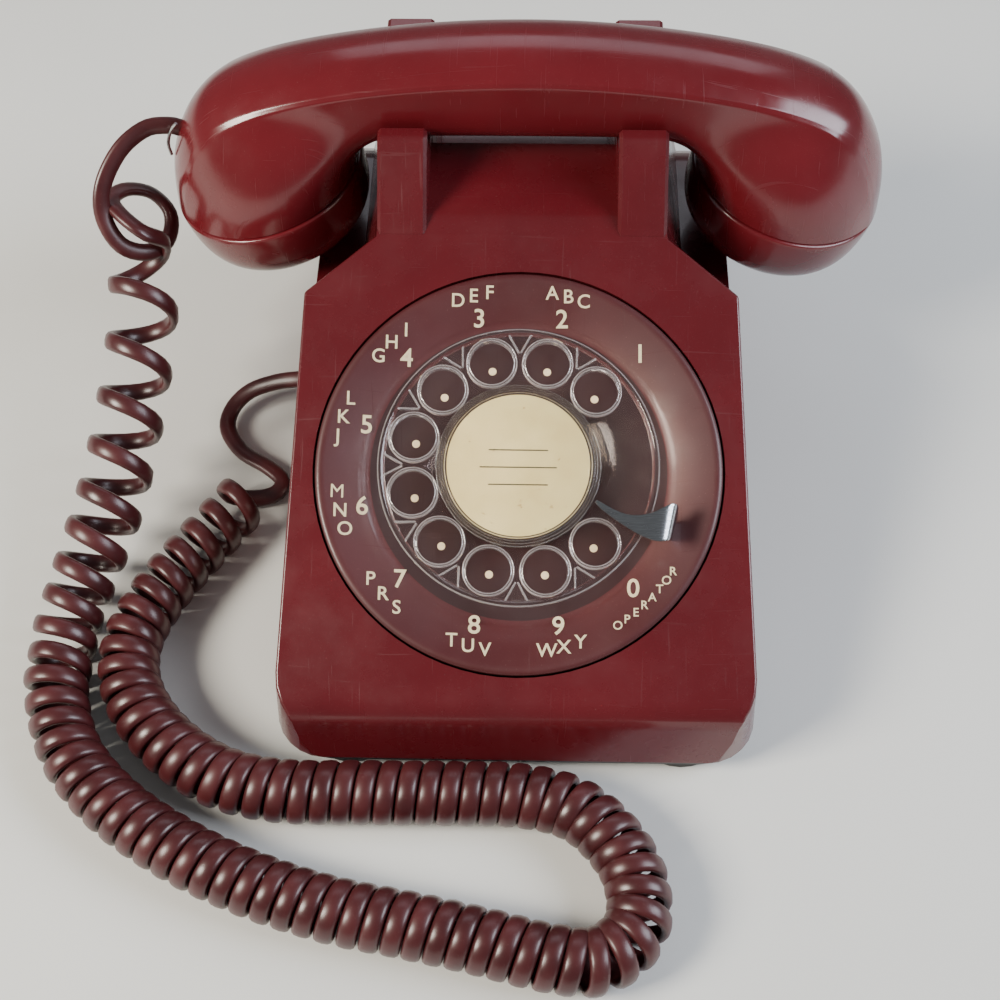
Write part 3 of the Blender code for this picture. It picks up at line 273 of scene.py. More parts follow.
def clear_acrylic(name, tint, haze, painted_edge_highlight=0.0):
    """Clear moulded acrylic: greasy patches and fine dust; painted_edge_highlight makes it whiter and less
    clear, a painted highlight for the light-catching edges.
    """
    made, tree, place = new_material(name)
    smear = add(tree, NOISE, {"Vector": place, "Scale": 150.0, "Detail": 6.0, "Roughness": 0.65})
    rough = add(tree, RAMP, {"Fac": smear}, stops=((0.35, grey(haze * 0.5)), (0.7, grey(haze * 2))))
    grain = add(tree, NOISE, {"Vector": place, "Scale": 700.0, "Detail": 3.0})
    relief = add(tree, BUMP, {"Height": grain, "Strength": 0.08, "Distance": 0.0003})
    body = {"IOR": 1.49, "Transmission Weight": 1.0 - painted_edge_highlight, "Base Color": srgb(tint), "Coat Weight": 0.3}
    shader = add(tree, "ShaderNodeBsdfPrincipled", {"Roughness": rough, "Normal": relief, **body})
    # Light passes through to the card and the plate, which would else lie in a shadow.
    clear = add(tree, "ShaderNodeBsdfTransparent", {"Color": srgb("#F4F0EC")})
    ray = add(tree, "ShaderNodeLightPath")
    both = add(tree, "ShaderNodeMixShader", {0: ray.outputs["Is Shadow Ray"], 1: shader, 2: clear})
    add(tree, "ShaderNodeOutputMaterial", {"Surface": both})
    return made


def printed_card():
    """Card yellowed by light: uneven tone, a few brown foxing spots, and paper fibres."""
    made, tree, place = new_material("yellowed_card")
    cloud = add(tree, NOISE, {"Vector": place, "Scale": 70.0, "Detail": 6.0})
    tone = add(tree, RAMP, {"Fac": cloud}, stops=((0.3, srgb("#BFB384")), (0.7, srgb("#D0C69A"))))
    spots = add(tree, NOISE, {"Vector": place, "Scale": 480.0, "Detail": 2.0})
    foxed = add(tree, RAMP, {"Fac": spots}, stops=((0.7, grey(0)), (0.76, grey(0.8))))
    colour = add(tree, MIX, {"Factor": foxed, 6: tone, 7: srgb("#8C7448")}, data_type="RGBA")
    fibre = add(tree, NOISE, {"Vector": place, "Scale": 1600.0, "Detail": 4.0})
    relief = add(tree, BUMP, {"Height": fibre, "Strength": 0.2, "Distance": 0.0002})
    paper = {"IOR": 1.5, "Roughness": 0.75}
    give_surface(tree, {"Base Color": colour.outputs[2], "Normal": relief, **paper})
    return made


def metal(name, light, dark, rough, lines=(300, 300, 30)):
    """Sheet or turned metal: a fine grain of tool marks, brighter and duller patches."""
    made, tree, place = new_material(name)
    stretched = add(tree, MAPPING, {"Vector": place, "Scale": lines})
    grain = add(tree, NOISE, {"Vector": stretched, "Scale": 4.0, "Detail": 5.0})
    tone = add(tree, RAMP, {"Fac": grain}, stops=((0.3, srgb(dark)), (0.7, srgb(light))))
    dull = add(tree, RAMP, {"Fac": grain}, stops=((0.3, grey(rough + 0.12)), (0.7, grey(rough))))
    relief = add(tree, BUMP, {"Height": grain, "Strength": 0.08, "Distance": 0.0002})
    give_surface(tree, {"Metallic": 1.0, "Base Color": tone, "Roughness": dull, "Normal": relief})
    return made


def plain(name, light, dark, rough, scale=400.0, strength=0.2, ior=1.5):
    """Moulded or painted surface with a fine even grain."""
    made, tree, place = new_material(name)
    grain = add(tree, NOISE, {"Vector": place, "Scale": scale, "Detail": 5.0, "Roughness": 0.6})
    tone = add(tree, RAMP, {"Fac": grain}, stops=((0.3, srgb(dark)), (0.7, srgb(light))))
    dull = add(tree, RAMP, {"Fac": grain}, stops=((0.3, grey(rough - 0.06)), (0.7, grey(rough + 0.08))))
    relief = add(tree, BUMP, {"Height": grain, "Strength": strength, "Distance": 0.0003})
    give_surface(tree, {"IOR": ior, "Base Color": tone, "Roughness": dull, "Normal": relief})
    return made


BODY_ABS = moulded_abs("moulded_maroon_abs", "#5A161C", "#501218", "#9A7A74")
# The number ring's copy of the maroon has a darker base than the body's: painted shade, set against the
# lamps' sheen on its dished band.
DIAL_ABS = moulded_abs("moulded_maroon_abs_dial", "#4A1518", "#401114", "#A08078", rough=0.5)
HANDSET_ABS = moulded_abs("moulded_maroon_abs_handset", "#64171E", "#591319", "#9A7A74", rough=0.2)
VINYL = vinyl_jacket()
CLEAR = clear_acrylic("cast_clear_acrylic", "#EFE6E4", 0.08)
# Whiter, less clear acrylic: a painted highlight for the edges of the wheel and the window's rings, where
# they catch the light.
ACRYLIC_PAINTED_HIGHLIGHT = clear_acrylic("acrylic_edges_painted_highlight", "#F2ECEA", 0.12, painted_edge_highlight=0.22)
# Painted shade: a darker maroon for the plate under the wheel, standing in for the wheel's shadow; its dust
# specks are real dust.
PAINTED_SHADE_UNDER_WHEEL = moulded_abs("moulded_maroon_abs_painted_shade_under_wheel", "#2C0D10", "#22090C", "#5A4642", rough=0.45)
CLEAR_WINDOW = clear_acrylic("clear_card_window", "#F4F0E4", 0.05)
CLEAR_PLUNGER = clear_acrylic("clear_acrylic_plunger", "#E4E0D8", 0.12)
CARD = printed_card()
INK = plain("printed_black_ink", "#2A2824", "#1C1A18", 0.6, scale=900.0, strength=0.05)
CREAM = plain("cream_moulded_lettering", "#E6D8B4", "#D8C8A0", 0.45, scale=1200.0, strength=0.1)
STEEL = metal("polished_stainless_steel", "#C4C6C8", "#8E9092", 0.16, (60, 900, 200))
ZINC = metal("zinc_plated_sheet", "#B8B8AE", "#8C8C84", 0.38)
BRASS = metal("machined_brass", "#C9A862", "#96763C", 0.26, (500, 500, 60))
ALUMINIUM = metal("pressed_aluminium", "#C2C4C6", "#94969A", 0.34)
BLACK_STEEL = plain("black_painted_steel", "#2C2A2A", "#191818", 0.42, scale=700.0)
RUBBER = plain("moulded_black_rubber", "#2E2C2B", "#1C1B1A", 0.72, scale=1500.0, strength=0.35, ior=1.52)
PHENOLIC = plain("phenolic_board", "#5A3422", "#3E2216", 0.5)
WIRE = plain("enamelled_copper_windings", "#8A3E20", "#5C2412", 0.35, scale=1600.0, strength=0.5)
GREY_PLASTIC = plain("moulded_grey_nylon", "#8A8A88", "#727270", 0.5)
GREY_PAINT = plain("grey_enamel_paint", "#7A7C80", "#64666A", 0.4)
BLACK_PLASTIC = plain("moulded_black_nylon", "#262524", "#161515", 0.4)
SLOT_LOOKS = {
    "maroon_abs": BODY_ABS,
    "maroon_vinyl": VINYL,
    "clear_acrylic": CLEAR,
    "clear_plunger": CLEAR_PLUNGER,
    "card_paper": CARD,
    "bright_steel": STEEL,
    "black_painted_steel": BLACK_STEEL,
    "zinc_plated_steel": ZINC,
    "brass": BRASS,
    "black_rubber": RUBBER,
    "phenolic": PHENOLIC,
    "enamelled_wire": WIRE,
    "grey_plastic": GREY_PLASTIC,
    "grey_paint": GREY_PAINT,
    "black_plastic": BLACK_PLASTIC,
    "aluminium": ALUMINIUM,
}


def dress_inner_nodes():
    """Gives every CAD node the finish of its slot."""
    for entry in frame["record"]["subparts"]:
        mesh = NODES[entry["node"]].data
        mesh.materials.clear()
        mesh.materials.append(SLOT_LOOKS[entry["material_slot"]])


# ---------------------------------------------------------------- camera, floor and light


# The camera's place, and the way it looks: down from level, towards the right, and leaned over.
CAMERA_AT = Vector((3.61, -288.6, 415.3)) * MM
CAMERA_DOWN, CAMERA_YAW, CAMERA_ROLL = math.radians(56.57), math.radians(-2.11), math.radians(-1.01)
CAMERA_LENS = 54


def set_camera():
    """Looks down on the dial from the front."""
    data = bpy.data.cameras.new("camera")
    data.lens = CAMERA_LENS
    data.sensor_width = 36
    data.clip_start = 0.01
    camera = bpy.data.objects.new("camera", data)
    bpy.context.scene.collection.objects.link(camera)
    down, yaw, roll = CAMERA_DOWN, CAMERA_YAW, CAMERA_ROLL
    ahead = Vector((math.sin(yaw) * math.cos(down), math.cos(yaw) * math.cos(down), -math.sin(down)))
    right = ahead.cross(Vector((0, 0, 1))).normalized()
    up = right.cross(ahead)
    leaned = right * math.cos(roll) + up * math.sin(roll)
    raised = up * math.cos(roll) - right * math.sin(roll)
    turn = Matrix((leaned, raised, -ahead)).transposed().to_4x4()
    camera.matrix_world = Matrix.Translation(CAMERA_AT) @ turn
    bpy.context.scene.camera = camera


def area_light(name, place, target, size, power, colour):
    """A rectangular lamp of (width, height) in metres, aimed at a target."""
    data = bpy.data.lights.new(name, "AREA")
    data.shape = "RECTANGLE"
    data.size, data.size_y = size
    data.energy = power
    data.color = srgb(colour)[:3]
    lamp = bpy.data.objects.new(name, data)
    lamp.location = place
    lamp.rotation_euler = (Vector(target) - Vector(place)).to_track_quat("-Z", "Y").to_euler()
    bpy.context.scene.collection.objects.link(lamp)


def set_light():
    """Two windows, a pale wall behind, and a dim room all round."""
    world = bpy.data.worlds.new("studio")
    world.use_nodes = True
    back = world.node_tree.nodes["Background"]
    back.inputs["Color"].default_value = srgb("#E4E8EC")
    back.inputs["Strength"].default_value = 0.2
    bpy.context.scene.world = world
    area_light("window_left", (-0.85, -0.4, 0.75), (0, 0, 0.03), (0.4, 0.4), 21, "#FFF6E8")
    area_light("window_right", (0.95, -0.1, 0.75), (0.05, 0, 0.05), (0.7, 0.7), 17, "#EEF3FF")
    area_light("wall_behind", (0.1, 1.1, 1.0), (0, 0, 0.05), (1.4, 0.5), 3, "#F2F4FF")


def table_top():
    """Pale satin laminate, a little uneven in its tone and gloss."""
    made, tree, place = new_material("pale_table_top")
    cloud = add(tree, NOISE, {"Vector": place, "Scale": 5.0, "Detail": 6.0})
    tone = add(tree, RAMP, {"Fac": cloud}, stops=((0.3, srgb("#DCDDD8")), (0.7, srgb("#E3E4E0"))))
    rough = add(tree, RAMP, {"Fac": cloud}, stops=((0.3, grey(0.45)), (0.7, grey(0.6))))
    give_surface(tree, {"IOR": 1.45, "Base Color": tone, "Roughness": rough})
    deselect()
    bpy.ops.mesh.primitive_plane_add(size=6, location=(0, 0, 0))
    top = bpy.context.object
    top.name = "table_top"
    top.data.materials.append(made)
    deselect()


# ---------------------------------------------------------------- curly cord


LEAD_ROUTE = (
    (-107.5, 65, 88.6),
    (-111, 64.7, 89.8),
    (-118, 62.8, 90),
    (-125.5, 56.5, 87),
    (-131, 48.4, 80),
    (-131.7, 42.5, 72),
    (-127, 37.6, 64.5),
    (-119.7, 39.8, 59),
    (-114.8, 47, 57.5),
    (-114.5, 55, 61),
    (-120.3, 59.5, 65.5),
    (-127.2, 57.2, 69.5),
    (-130.6, 50.5, 71.8),
    (-126.5, 43.5, 72.4),
    (-119, 38.5, 69.5),
)
HANGING_ROUTE = (
    (-123.5, 40, 61),
    (-120.5, 28, 54),
    (-121, 10, 45),
    (-123.5, -12, 35),
    (-127.5, -34, 25.5),
    (-133.5, -54, 17),
    (-137.5, -69, 12),
)
TABLE_ROUTE = (
    (-138.2, -79, 10),
    (-137.5, -93, 9.4),
    (-129.5, -112, 9.4),
    (-114, -128, 9.4),
    (-93, -141, 9.4),
    (-72, -150, 9.4),
    (-50, -156.5, 9.4),
    (-28, -160.5, 9.4),
    (-8, -164.5, 9.4),
    (10, -168.5, 9.4),
    (24, -169, 9.4),
    (34, -160, 9.4),
    (34, -146, 9.4),
    (27, -134, 9.4),
    (16, -125.5, 9.4),
    (0, -122.2, 9.4),
    (-20, -122, 9.4),
    (-45, -122.2, 9.4),
    (-68, -122, 9.4),
    (-87, -117.5, 9.4),
    (-104, -106, 9.4),
    (-115, -91, 9.4),
    (-117.5, -75, 9.4),
    (-112, -58, 9.4),
    (-102.5, -42, 9.4),
    (-93, -27.5, 9.4),
    (-89, -21, 9.4),
)
TAIL_ROUTE = (
    (-87, -17.5, 3.4),
    (-80.3, -16, 4.2),
    (-78.5, -11.5, 5),
    (-84, -6, 5),
    (-93.5, 0.8, 4.2),
    (-99.4, 10, 4.2),
    (-98.6, 18, 5.2),
    (-92.8, 23.4, 8),
    (-84, 24.6, 11.5),
    (-76.5, 24.2, 13.8),
    (-69.4, 24, 14.5),
)
JACKET_WIDE = 5.6 * MM
JACKET_THICK = 3.1 * MM
JACKET_SIDES = 12
TURN_SIDES = 22
# How far the plain ends aim on along the coil where they meet it.
AIM = 9 * MM
# Pulled out under the handset, then closed: millimetres gone along the coil against pitch and radius.
PITCHES = ((0, 23), (24, 20), (62, 16), (92, 12.5), (118, 9.5), (150, 7.2), (185, 6.1))
RADII = ((0, 9.6), (80, 9.6), (125, 8.6), (160, 7.75))
# The same for the last stretch, counted back from the coil's end.
END_PITCHES = ((0, 9.4), (40, 7.6), (75, 6.1))
# Parts of a turn at which the coil starts and ends, so that the plain ends leave it from the right side.
START_TURN = 0.25
END_TURN = 0.36


def between(knots, place):
    """Value at a place, eased from one knot to the next."""
    for (a, low), (b, high) in zip(knots, knots[1:]):
        if place < b:
            t = max(place - a, 0) / (b - a)
            return low + (high - low) * t * t * (3 - 2 * t)
    return knots[-1][1]


def smooth_path(points, step, before=None, after=None):
    """A Catmull-Rom curve through the points, read at even steps; its ends may aim at further points."""
    knots = [Vector(point) * MM for point in points]
    knots = [before or 2 * knots[0] - knots[1]] + knots + [after or 2 * knots[-1] - knots[-2]]
    fine = []
    parts = 24
    for back, start, end, ahead in zip(knots, knots[1:], knots[2:], knots[3:]):
        for i in range(parts):
            t = i / parts
            a = 2 * start + (end - back) * t
            b = (2 * back - 5 * start + 4 * end - ahead) * t * t
            c = (3 * start - back - 3 * end + ahead) * t**3
            fine.append((a + b + c) / 2)
    fine.append(knots[-2])
    length = sum((b - a).length for a, b in zip(fine, fine[1:]))
    count = max(2, round(length / step))
    found = [fine[0]]
    gone = 0.0
    for a, b in zip(fine, fine[1:]):
        reach = (b - a).length
        while len(found) < count and gone + reach >= len(found) * length / count:
            found.append(a.lerp(b, (len(found) * length / count - gone) / reach))
        gone += reach
    return found + [fine[-1]]


def frames_along(path):
    """A steady side direction at each point of the path, turned as little as possible."""
    side = Vector((0, 0, 1))
    found = []
    for i, point in enumerate(path):
        along = (path[min(i + 1, len(path) - 1)] - path[max(i - 1, 0)]).normalized()
        side = (side - along * side.dot(along)).normalized()
        found.append((point, along, side, along.cross(side)))
    return found


def helix_points():
    """The coil's turns about its axis, each point with the direction it faces."""
    coil = frames_along(smooth_path(HANGING_ROUTE + TABLE_ROUTE, 1 * MM))
    reaches = [(b[0] - a[0]).length for a, b in zip(coil, coil[1:])]
    total = sum(reaches)
    gone = 0.0
    turns = [0.0]
    radii = [between(RADII, 0)]
    for reach in reaches:
        gone += reach
        pitch = max(between(PITCHES, gone / MM), between(END_PITCHES, (total - gone) / MM))
        turns.append(turns[-1] + reach / pitch / MM)
        radii.append(between(RADII, gone / MM))
    scale = (round(turns[-1]) + END_TURN - START_TURN) / turns[-1]
    turns = [START_TURN + t * scale for t in turns]
    found = []
    for i in range(len(reaches)):
        (a, _, side_a, cross_a), (b, _, side_b, cross_b) = coil[i], coil[i + 1]
        steps = max(1, round(TURN_SIDES * (turns[i + 1] - turns[i])))
        for k in range(steps):
            t = k / steps
            angle = 2 * math.pi * (turns[i] + (turns[i + 1] - turns[i]) * t)
            out = side_a.lerp(side_b, t) * math.cos(angle) - cross_a.lerp(cross_b, t) * math.sin(angle)
            found.append((a.lerp(b, t) + out * (radii[i] + (radii[i + 1] - radii[i]) * t) * MM, out))
    return found


def cord_line():
    """Centreline of the whole cord, with the direction its flat side faces at each point."""
    helix = helix_points()
    first, second = helix[0][0], helix[1][0]
    last, before = helix[-1][0], helix[-2][0]
    into, out_of = (second - first).normalized() * AIM, (last - before).normalized() * AIM
    lead = smooth_path(LEAD_ROUTE + (tuple(first / MM),), 2 * MM, after=first + into)
    tail = smooth_path((tuple(last / MM),) + TAIL_ROUTE, 2 * MM, before=last - out_of)
    return [(point, None) for point in lead[:-1]] + helix + [(point, None) for point in tail[1:]]


def faced_rings(line):
    """Carries the flat side's direction on from the coil to both plain ends, turned as little as possible."""
    points = [point for point, _ in line]
    facing = [out for _, out in line]
    start = next(i for i, out in enumerate(facing) if out is not None)
    end = len(facing) - 1 - next(i for i, out in enumerate(reversed(facing)) if out is not None)
    order = list(range(start, len(line))) + list(range(start - 1, -1, -1))
    found = {}
    for i in order:
        along = (points[min(i + 1, len(points) - 1)] - points[max(i - 1, 0)]).normalized()
        if start <= i <= end:
            wanted = facing[i]
        else:
            wanted = found[i - 1 if i > end else i + 1][1]
        out = (wanted - along * wanted.dot(along)).normalized()
        found[i] = (points[i], out, along.cross(out))
    return [found[i] for i in range(len(line))]


def cord_mesh():
    """Flat oval jacket swept along the line, its wide side facing out of the coil."""
    rings = faced_rings(cord_line())
    points = [point for point, _, _ in rings]
    mesh, obj = new_object("curly_cord")
    shape = bmesh.new()
    section = []
    for k in range(JACKET_SIDES):
        angle = 2 * math.pi * k / JACKET_SIDES
        wide = math.copysign(abs(math.cos(angle)) ** 0.75, math.cos(angle)) * JACKET_WIDE / 2
        thick = math.copysign(abs(math.sin(angle)) ** 0.85, math.sin(angle)) * JACKET_THICK / 2
        section.append((wide, thick))
    made = [
        [shape.verts.new(point + across * wide + out * thick) for wide, thick in section]
        for point, out, across in rings
    ]
    for a, b in zip(made, made[1:]):
        for k in range(JACKET_SIDES):
            n = (k + 1) % JACKET_SIDES
            shape.faces.new((a[k], a[n], b[n], b[k]))
    shape.faces.new(made[0][::-1])
    shape.faces.new(made[-1])
    bmesh.ops.recalc_face_normals(shape, faces=shape.faces)
    shape.to_mesh(mesh)
    shape.free()
    return obj, points


def curly_cord():
    """The whole cord from the handset to the socket in the housing's left side."""
    obj, points = cord_mesh()
    choose(obj)
    obj.data.materials.append(VINYL)
    bpy.ops.object.shade_smooth_by_angle(angle=math.radians(50))
    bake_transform(obj)
    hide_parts("cord_lead", "cord_coil_hanging", "cord_coil_on_table", "cord_tail")
    deselect()


# ---------------------------------------------------------------- shells


def housing_shell():
    """The CAD shell with its edges rounded as the mould leaves them."""
    obj = merged_copy("housing")
    choose(obj)
    bpy.ops.object.mode_set(mode="EDIT")
    bpy.ops.mesh.select_all(action="SELECT")
    bpy.ops.mesh.dissolve_limited(angle_limit=math.radians(0.4))
    bpy.ops.object.mode_set(mode="OBJECT")
    modify(obj, "BEVEL", width=0.7 * MM, segments=3, limit_method="ANGLE", angle_limit=math.radians(32))
    choose(obj)
    bpy.ops.object.shade_smooth_by_angle(angle=math.radians(32))
    modify(obj, "WEIGHTED_NORMAL", mode="FACE_AREA", weight=100, keep_sharp=True)
    finish_piece(obj, "housing_shell", BODY_ABS, "telephone_base", ["housing"], angle=None)


# Handset, in millimetres: its centre, the handle's half width, height and crown, and the cups' rims.
HANDSET_AT = (1.0, 65.0)
HANDLE_HALF = 15
HANDLE_TOPS = ((26, 122.4), (13, 123.2), (0, 123.5))
HANDLE_LOW = 95.4
HANDLE_CROWN = 4.2
CAP_AT = (83.2, 71.5)
CAP_TILT = math.radians(13)
CUP_R = 31.1
# Where each of the handle section's points comes out on a cup's rim, in degrees.
CUP_ANGLES = (0, 9, 19, 28, 33, 52, 76, 100, 124, 145, 164, 180)
SHELL_WALL = 2.4 * MM
# The points of a section that follow the crisp edges of the top band on one side.
CRISP_POINTS = (3, 4)
# Side view of one end, from the cup's rim up to the handle: the outer line and the inner line.
OUTER_LINE = (
    (113.5, 64.5),
    (113.2, 75),
    (110.4, 86),
    (105.8, 95.6),
    (100.2, 102.8),
    (92.5, 107.6),
    (80, 112.6),
    (63, 117),
    (44, 120.6),
)
INNER_LINE = (
    (52.9, 78.5),
    (52.7, 81.4),
    (52.2, 84.2),
    (51.2, 87),
    (49.6, 89.6),
    (47.4, 91.8),
    (44.6, 93.6),
    (41, 94.8),
    (37, 95.3),
)


def handle_outline(top, low, half, crown):
    """Section across the handle: nearly flat top, flat sides, round underside, as (y, z)."""
    side = top - crown
    tall = side - low
    back = [
        (0, top),
        (half * 0.33, top - crown * 0.1),
        (half * 0.66, top - crown * 0.42),
        (half - 0.9, side + tall * 0.02),
        (half, side - tall * 0.04),
        (half, side - tall * 0.3),
        (half, side - tall * 0.56),
        (half - 0.5, low + tall * 0.22),
        (half - 2.6, low + tall * 0.08),
        (half * 0.62, low + tall * 0.015),
        (half * 0.32, low),
        (0, low),
    ]
    return back + [(-y, z) for y, z in back[-2:0:-1]]


def cup_outline(side):
    """Rim of one cup in its tilted plane, its points matched to those of a handle section."""
    outward = Vector((side * math.cos(CAP_TILT), 0, -math.sin(CAP_TILT)))
    centre = Vector((side * CAP_AT[0], 0, CAP_AT[1]))
    angles = [math.radians(a) for a in CUP_ANGLES + tuple(360 - a for a in CUP_ANGLES[-2:0:-1])]
    return [centre + outward * CUP_R * math.cos(a) + Vector((0, CUP_R * math.sin(a), 0)) for a in angles]


def end_outline(side, step):
    """Section through one end, between the outer line and the inner line at this step."""
    share = step / (len(OUTER_LINE) - 1)
    (outer_x, outer_z), (inner_x, inner_z) = OUTER_LINE[step], INNER_LINE[step]
    circle = cup_outline(side)
    far, near = circle[0], circle[len(CUP_ANGLES) - 1]
    swell = share * share * (3 - 2 * share)
    found = []
    for a, (y, z) in zip(circle, handle_outline(1, 0, HANDLE_HALF, 0.17)):
        along = (a.x - far.x) / (near.x - far.x) * (1 - share) + (1 - z) * share
        x = outer_x + (inner_x - outer_x) * along
        height = outer_z + (inner_z - outer_z) * along
        found.append(Vector((side * x, a.y * (1 - swell) + y * swell, height)))
    return found


def handset_shell():
    """Hollow moulding lofted from cup to cup, with a crisp edge on both sides of its top band."""
    steps = range(len(OUTER_LINE))
    middle = [(x, handle_outline(top, HANDLE_LOW, HANDLE_HALF, HANDLE_CROWN)) for x, top in HANDLE_TOPS]
    sections = [end_outline(-1, step) for step in steps]
    sections += [[Vector((-x, y, z)) for y, z in outline] for x, outline in middle]
    sections += [[Vector((x, y, z)) for y, z in outline] for x, outline in middle[-2::-1]]
    sections += [end_outline(1, step) for step in reversed(steps)]
    mesh, obj = new_object("handset_shell")
    shape = bmesh.new()
    at = Vector((*HANDSET_AT, 0))
    rings = [[shape.verts.new((at + point) * MM) for point in section] for section in sections]
    count = len(rings[0])
    for a, b in zip(rings, rings[1:]):
        for k in range(count):
            shape.faces.new((a[k], b[k], b[(k + 1) % count], a[(k + 1) % count]))
    bmesh.ops.recalc_face_normals(shape, faces=shape.faces)
    crease = shape.edges.layers.float.new("crease_edge")
    for i, (a, b) in enumerate(zip(rings, rings[1:])):
        # The edges are softer at the middle of the handle than at the cups.
        reach = abs(i + 0.5 - (len(rings) - 1) / 2) / (len(rings) / 2)
        for k in CRISP_POINTS + tuple(count - point for point in CRISP_POINTS):
            shape.edges.get((a[k], b[k]))[crease] = 0.45 + 0.35 * reach
    shape.to_mesh(mesh)
    shape.free()
    modify(obj, "SUBSURF", levels=3, render_levels=3)
    modify(obj, "SOLIDIFY", thickness=SHELL_WALL, offset=-1)
    finish_piece(obj, "handset_moulding", HANDSET_ABS, "handset", ["handset_shell"])


def smooth_cap(node):
    """One of the handset's screwed caps, its facets made round."""
    obj = merged_copy(node)
    choose(obj)
    bpy.ops.object.mode_set(mode="EDIT")
    bpy.ops.mesh.select_all(action="SELECT")
    bpy.ops.mesh.tris_convert_to_quads(face_threshold=math.radians(50), shape_threshold=math.radians(60))
    bpy.ops.object.mode_set(mode="OBJECT")
    modify(obj, "SUBSURF", levels=2, render_levels=2)
    finish_piece(obj, node + "_moulding", HANDSET_ABS, "handset", [node])


def softened_foot(node):
    """One rubber foot with its edges rounded."""
    obj = merged_copy(node)
    choose(obj)
    bpy.ops.object.mode_set(mode="EDIT")
    bpy.ops.mesh.select_all(action="SELECT")
    bpy.ops.mesh.dissolve_limited(angle_limit=math.radians(1))
    bpy.ops.object.mode_set(mode="OBJECT")
    modify(obj, "BEVEL", width=0.6 * MM, segments=2, limit_method="ANGLE", angle_limit=math.radians(35))
    finish_piece(obj, node + "_pad", RUBBER, "telephone_base", [node], angle=35)


# ---------------------------------------------------------------- dial


# Section of the number ring, as (radius, height): round rim, underside, plate under the wheel, step.
RING_PROFILE = (
    (BAND_OUT, BAND_TOP),
    (57.2, 0.6),
    (58.0, 0.62),
    (58.7, 0.4),
    (59.15, -0.05),
    (59.3, -0.7),
    (59.3, -3.2),
    (57, -3.4),
    (45.4, -5),
    (10, -5),
    (10, -3.2),
    (43.4, -3.2),
    (44.4, -3.0),
    (45.3, -2.55),
    (BAND_IN, BAND_LOW),
)


def dial_ring():
    """Dished number ring with a rounded rim and a step under the wheel, with painted shade, a darker maroon,
    on the plate where the wheel covers it.
    """
    obj = profile_spin("dial_ring", RING_PROFILE, 192, DIAL_MATRIX)
    obj.data.materials.append(DIAL_ABS)
    obj.data.materials.append(PAINTED_SHADE_UNDER_WHEEL)
    to_dial = DIAL_MATRIX.inverted()
    # Faces within 2 mm inside the wheel's rim get the painted shade.
    for face in obj.data.polygons:
        face.material_index = 1 if (to_dial @ face.center).xy.length < WHEEL_R - 2 * MM else 0
    finish_piece(obj, "number_ring", None, "telephone_base", ["dial_plate"], angle=28)


def band_height(radius):
    """Height of the ring's sloping band above the dial's centre plane, both in millimetres."""
    share = (radius - BAND_IN) / (BAND_OUT - BAND_IN)
    return BAND_LOW + (BAND_TOP - BAND_LOW) * share


# Heights of the numbers, of the letters and of the word at the 0, in millimetres.
NUMBER_TALL, LETTER_TALL, WORD_TALL = 5.6, 4.15, 2.6
# Half a character's thickness, and how far its middle stands above the band, in millimetres.
LETTER_HALF, LETTER_LIFT = 0.09, 0.05
# How much bolder the strokes are made on each side, at size 1.
BOLDER = 0.016
# Letters from the 2 to the 9: their distance from the dial's centre, and the degrees between two of them.
LETTERS = (
    ("ABC", 54.1, 5.1),
    ("DEF", 54.1, 5.1),
    ("GHI", 53.6, 6.0),
    ("JKL", 53.7, 6.3),
    ("MNO", 53.0, 6.1),
    ("PRS", 53.0, 6.1),
    ("TUV", 52.8, 5.4),
    ("WXY", 52.8, 5.4),
)


def character_places():
    """Each character of the dial with its distance from the centre, its angle and its height."""
    places = [("1", 49.9, FIRST_HOLE, NUMBER_TALL)]
    for i, (letters, radius, step) in enumerate(LETTERS, start=1):
        # The 5, 6 and 7 sit a little above their holes.
        angle = FIRST_HOLE + HOLE_STEP * i - (1.5 if i in (4, 5, 6) else 0)
        places.append((str(i + 1), 47.3 if i < 4 else 46.6, angle, NUMBER_TALL))
        # On the upper half the letters read against the direction of the angle.
        turn = step if i > 4 else -step
        places += [(letter, radius, angle + (k - 1) * turn, LETTER_TALL) for k, letter in enumerate(letters)]
    places.append(("0", 47.6, 314.6, NUMBER_TALL))
    return places + [(letter, 53.2, 303.0 + k * 3.45, WORD_TALL) for k, letter in enumerate("OPERATOR")]


def character(text, radius, angle, tall):
    """One raised character on the ring's sloping band, upright."""
    data = bpy.data.curves.new("character_" + text, "FONT")
    data.body = text
    data.size = 1 / CAPITAL_HEIGHT
    data.align_x = "CENTER"
    data.align_y = "CENTER"
    data.extrude = LETTER_HALF / tall
    # The M's own outline crosses itself when it is made bolder.
    data.offset = 0 if text == "M" else BOLDER
    data.resolution_u = 4
    obj = bpy.data.objects.new("character_" + text, data)
    bpy.context.scene.collection.objects.link(obj)
    choose(obj)
    bpy.ops.object.convert(target="MESH")
    obj = bpy.context.object
    across, up = math.cos(angle), math.sin(angle)
    slope = math.atan2(BAND_TOP - BAND_LOW, BAND_OUT - BAND_IN)
    tilt = Matrix.Rotation(-slope, 4, Vector((-up, across, 0)))
    spot = Vector((radius * across, radius * up, band_height(radius) + LETTER_LIFT)) * MM
    # The outline is filled at size 1 and made small here, together with its place.
    obj.data.transform(DIAL_MATRIX @ Matrix.Translation(spot) @ tilt @ Matrix.Scale(tall * MM, 4))
    return obj


def lettering():
    """The dial's numbers and letters as one piece."""
    made = [
        character(text, radius, math.radians(angle), tall) for text, radius, angle, tall in character_places()
    ]
    whole = choose(*made)
    bpy.ops.object.join()
    finish_piece(whole, "dial_lettering", CREAM, "telephone_base")


DOT_R = 1.15 * MM
DOT_THICK = 0.16 * MM


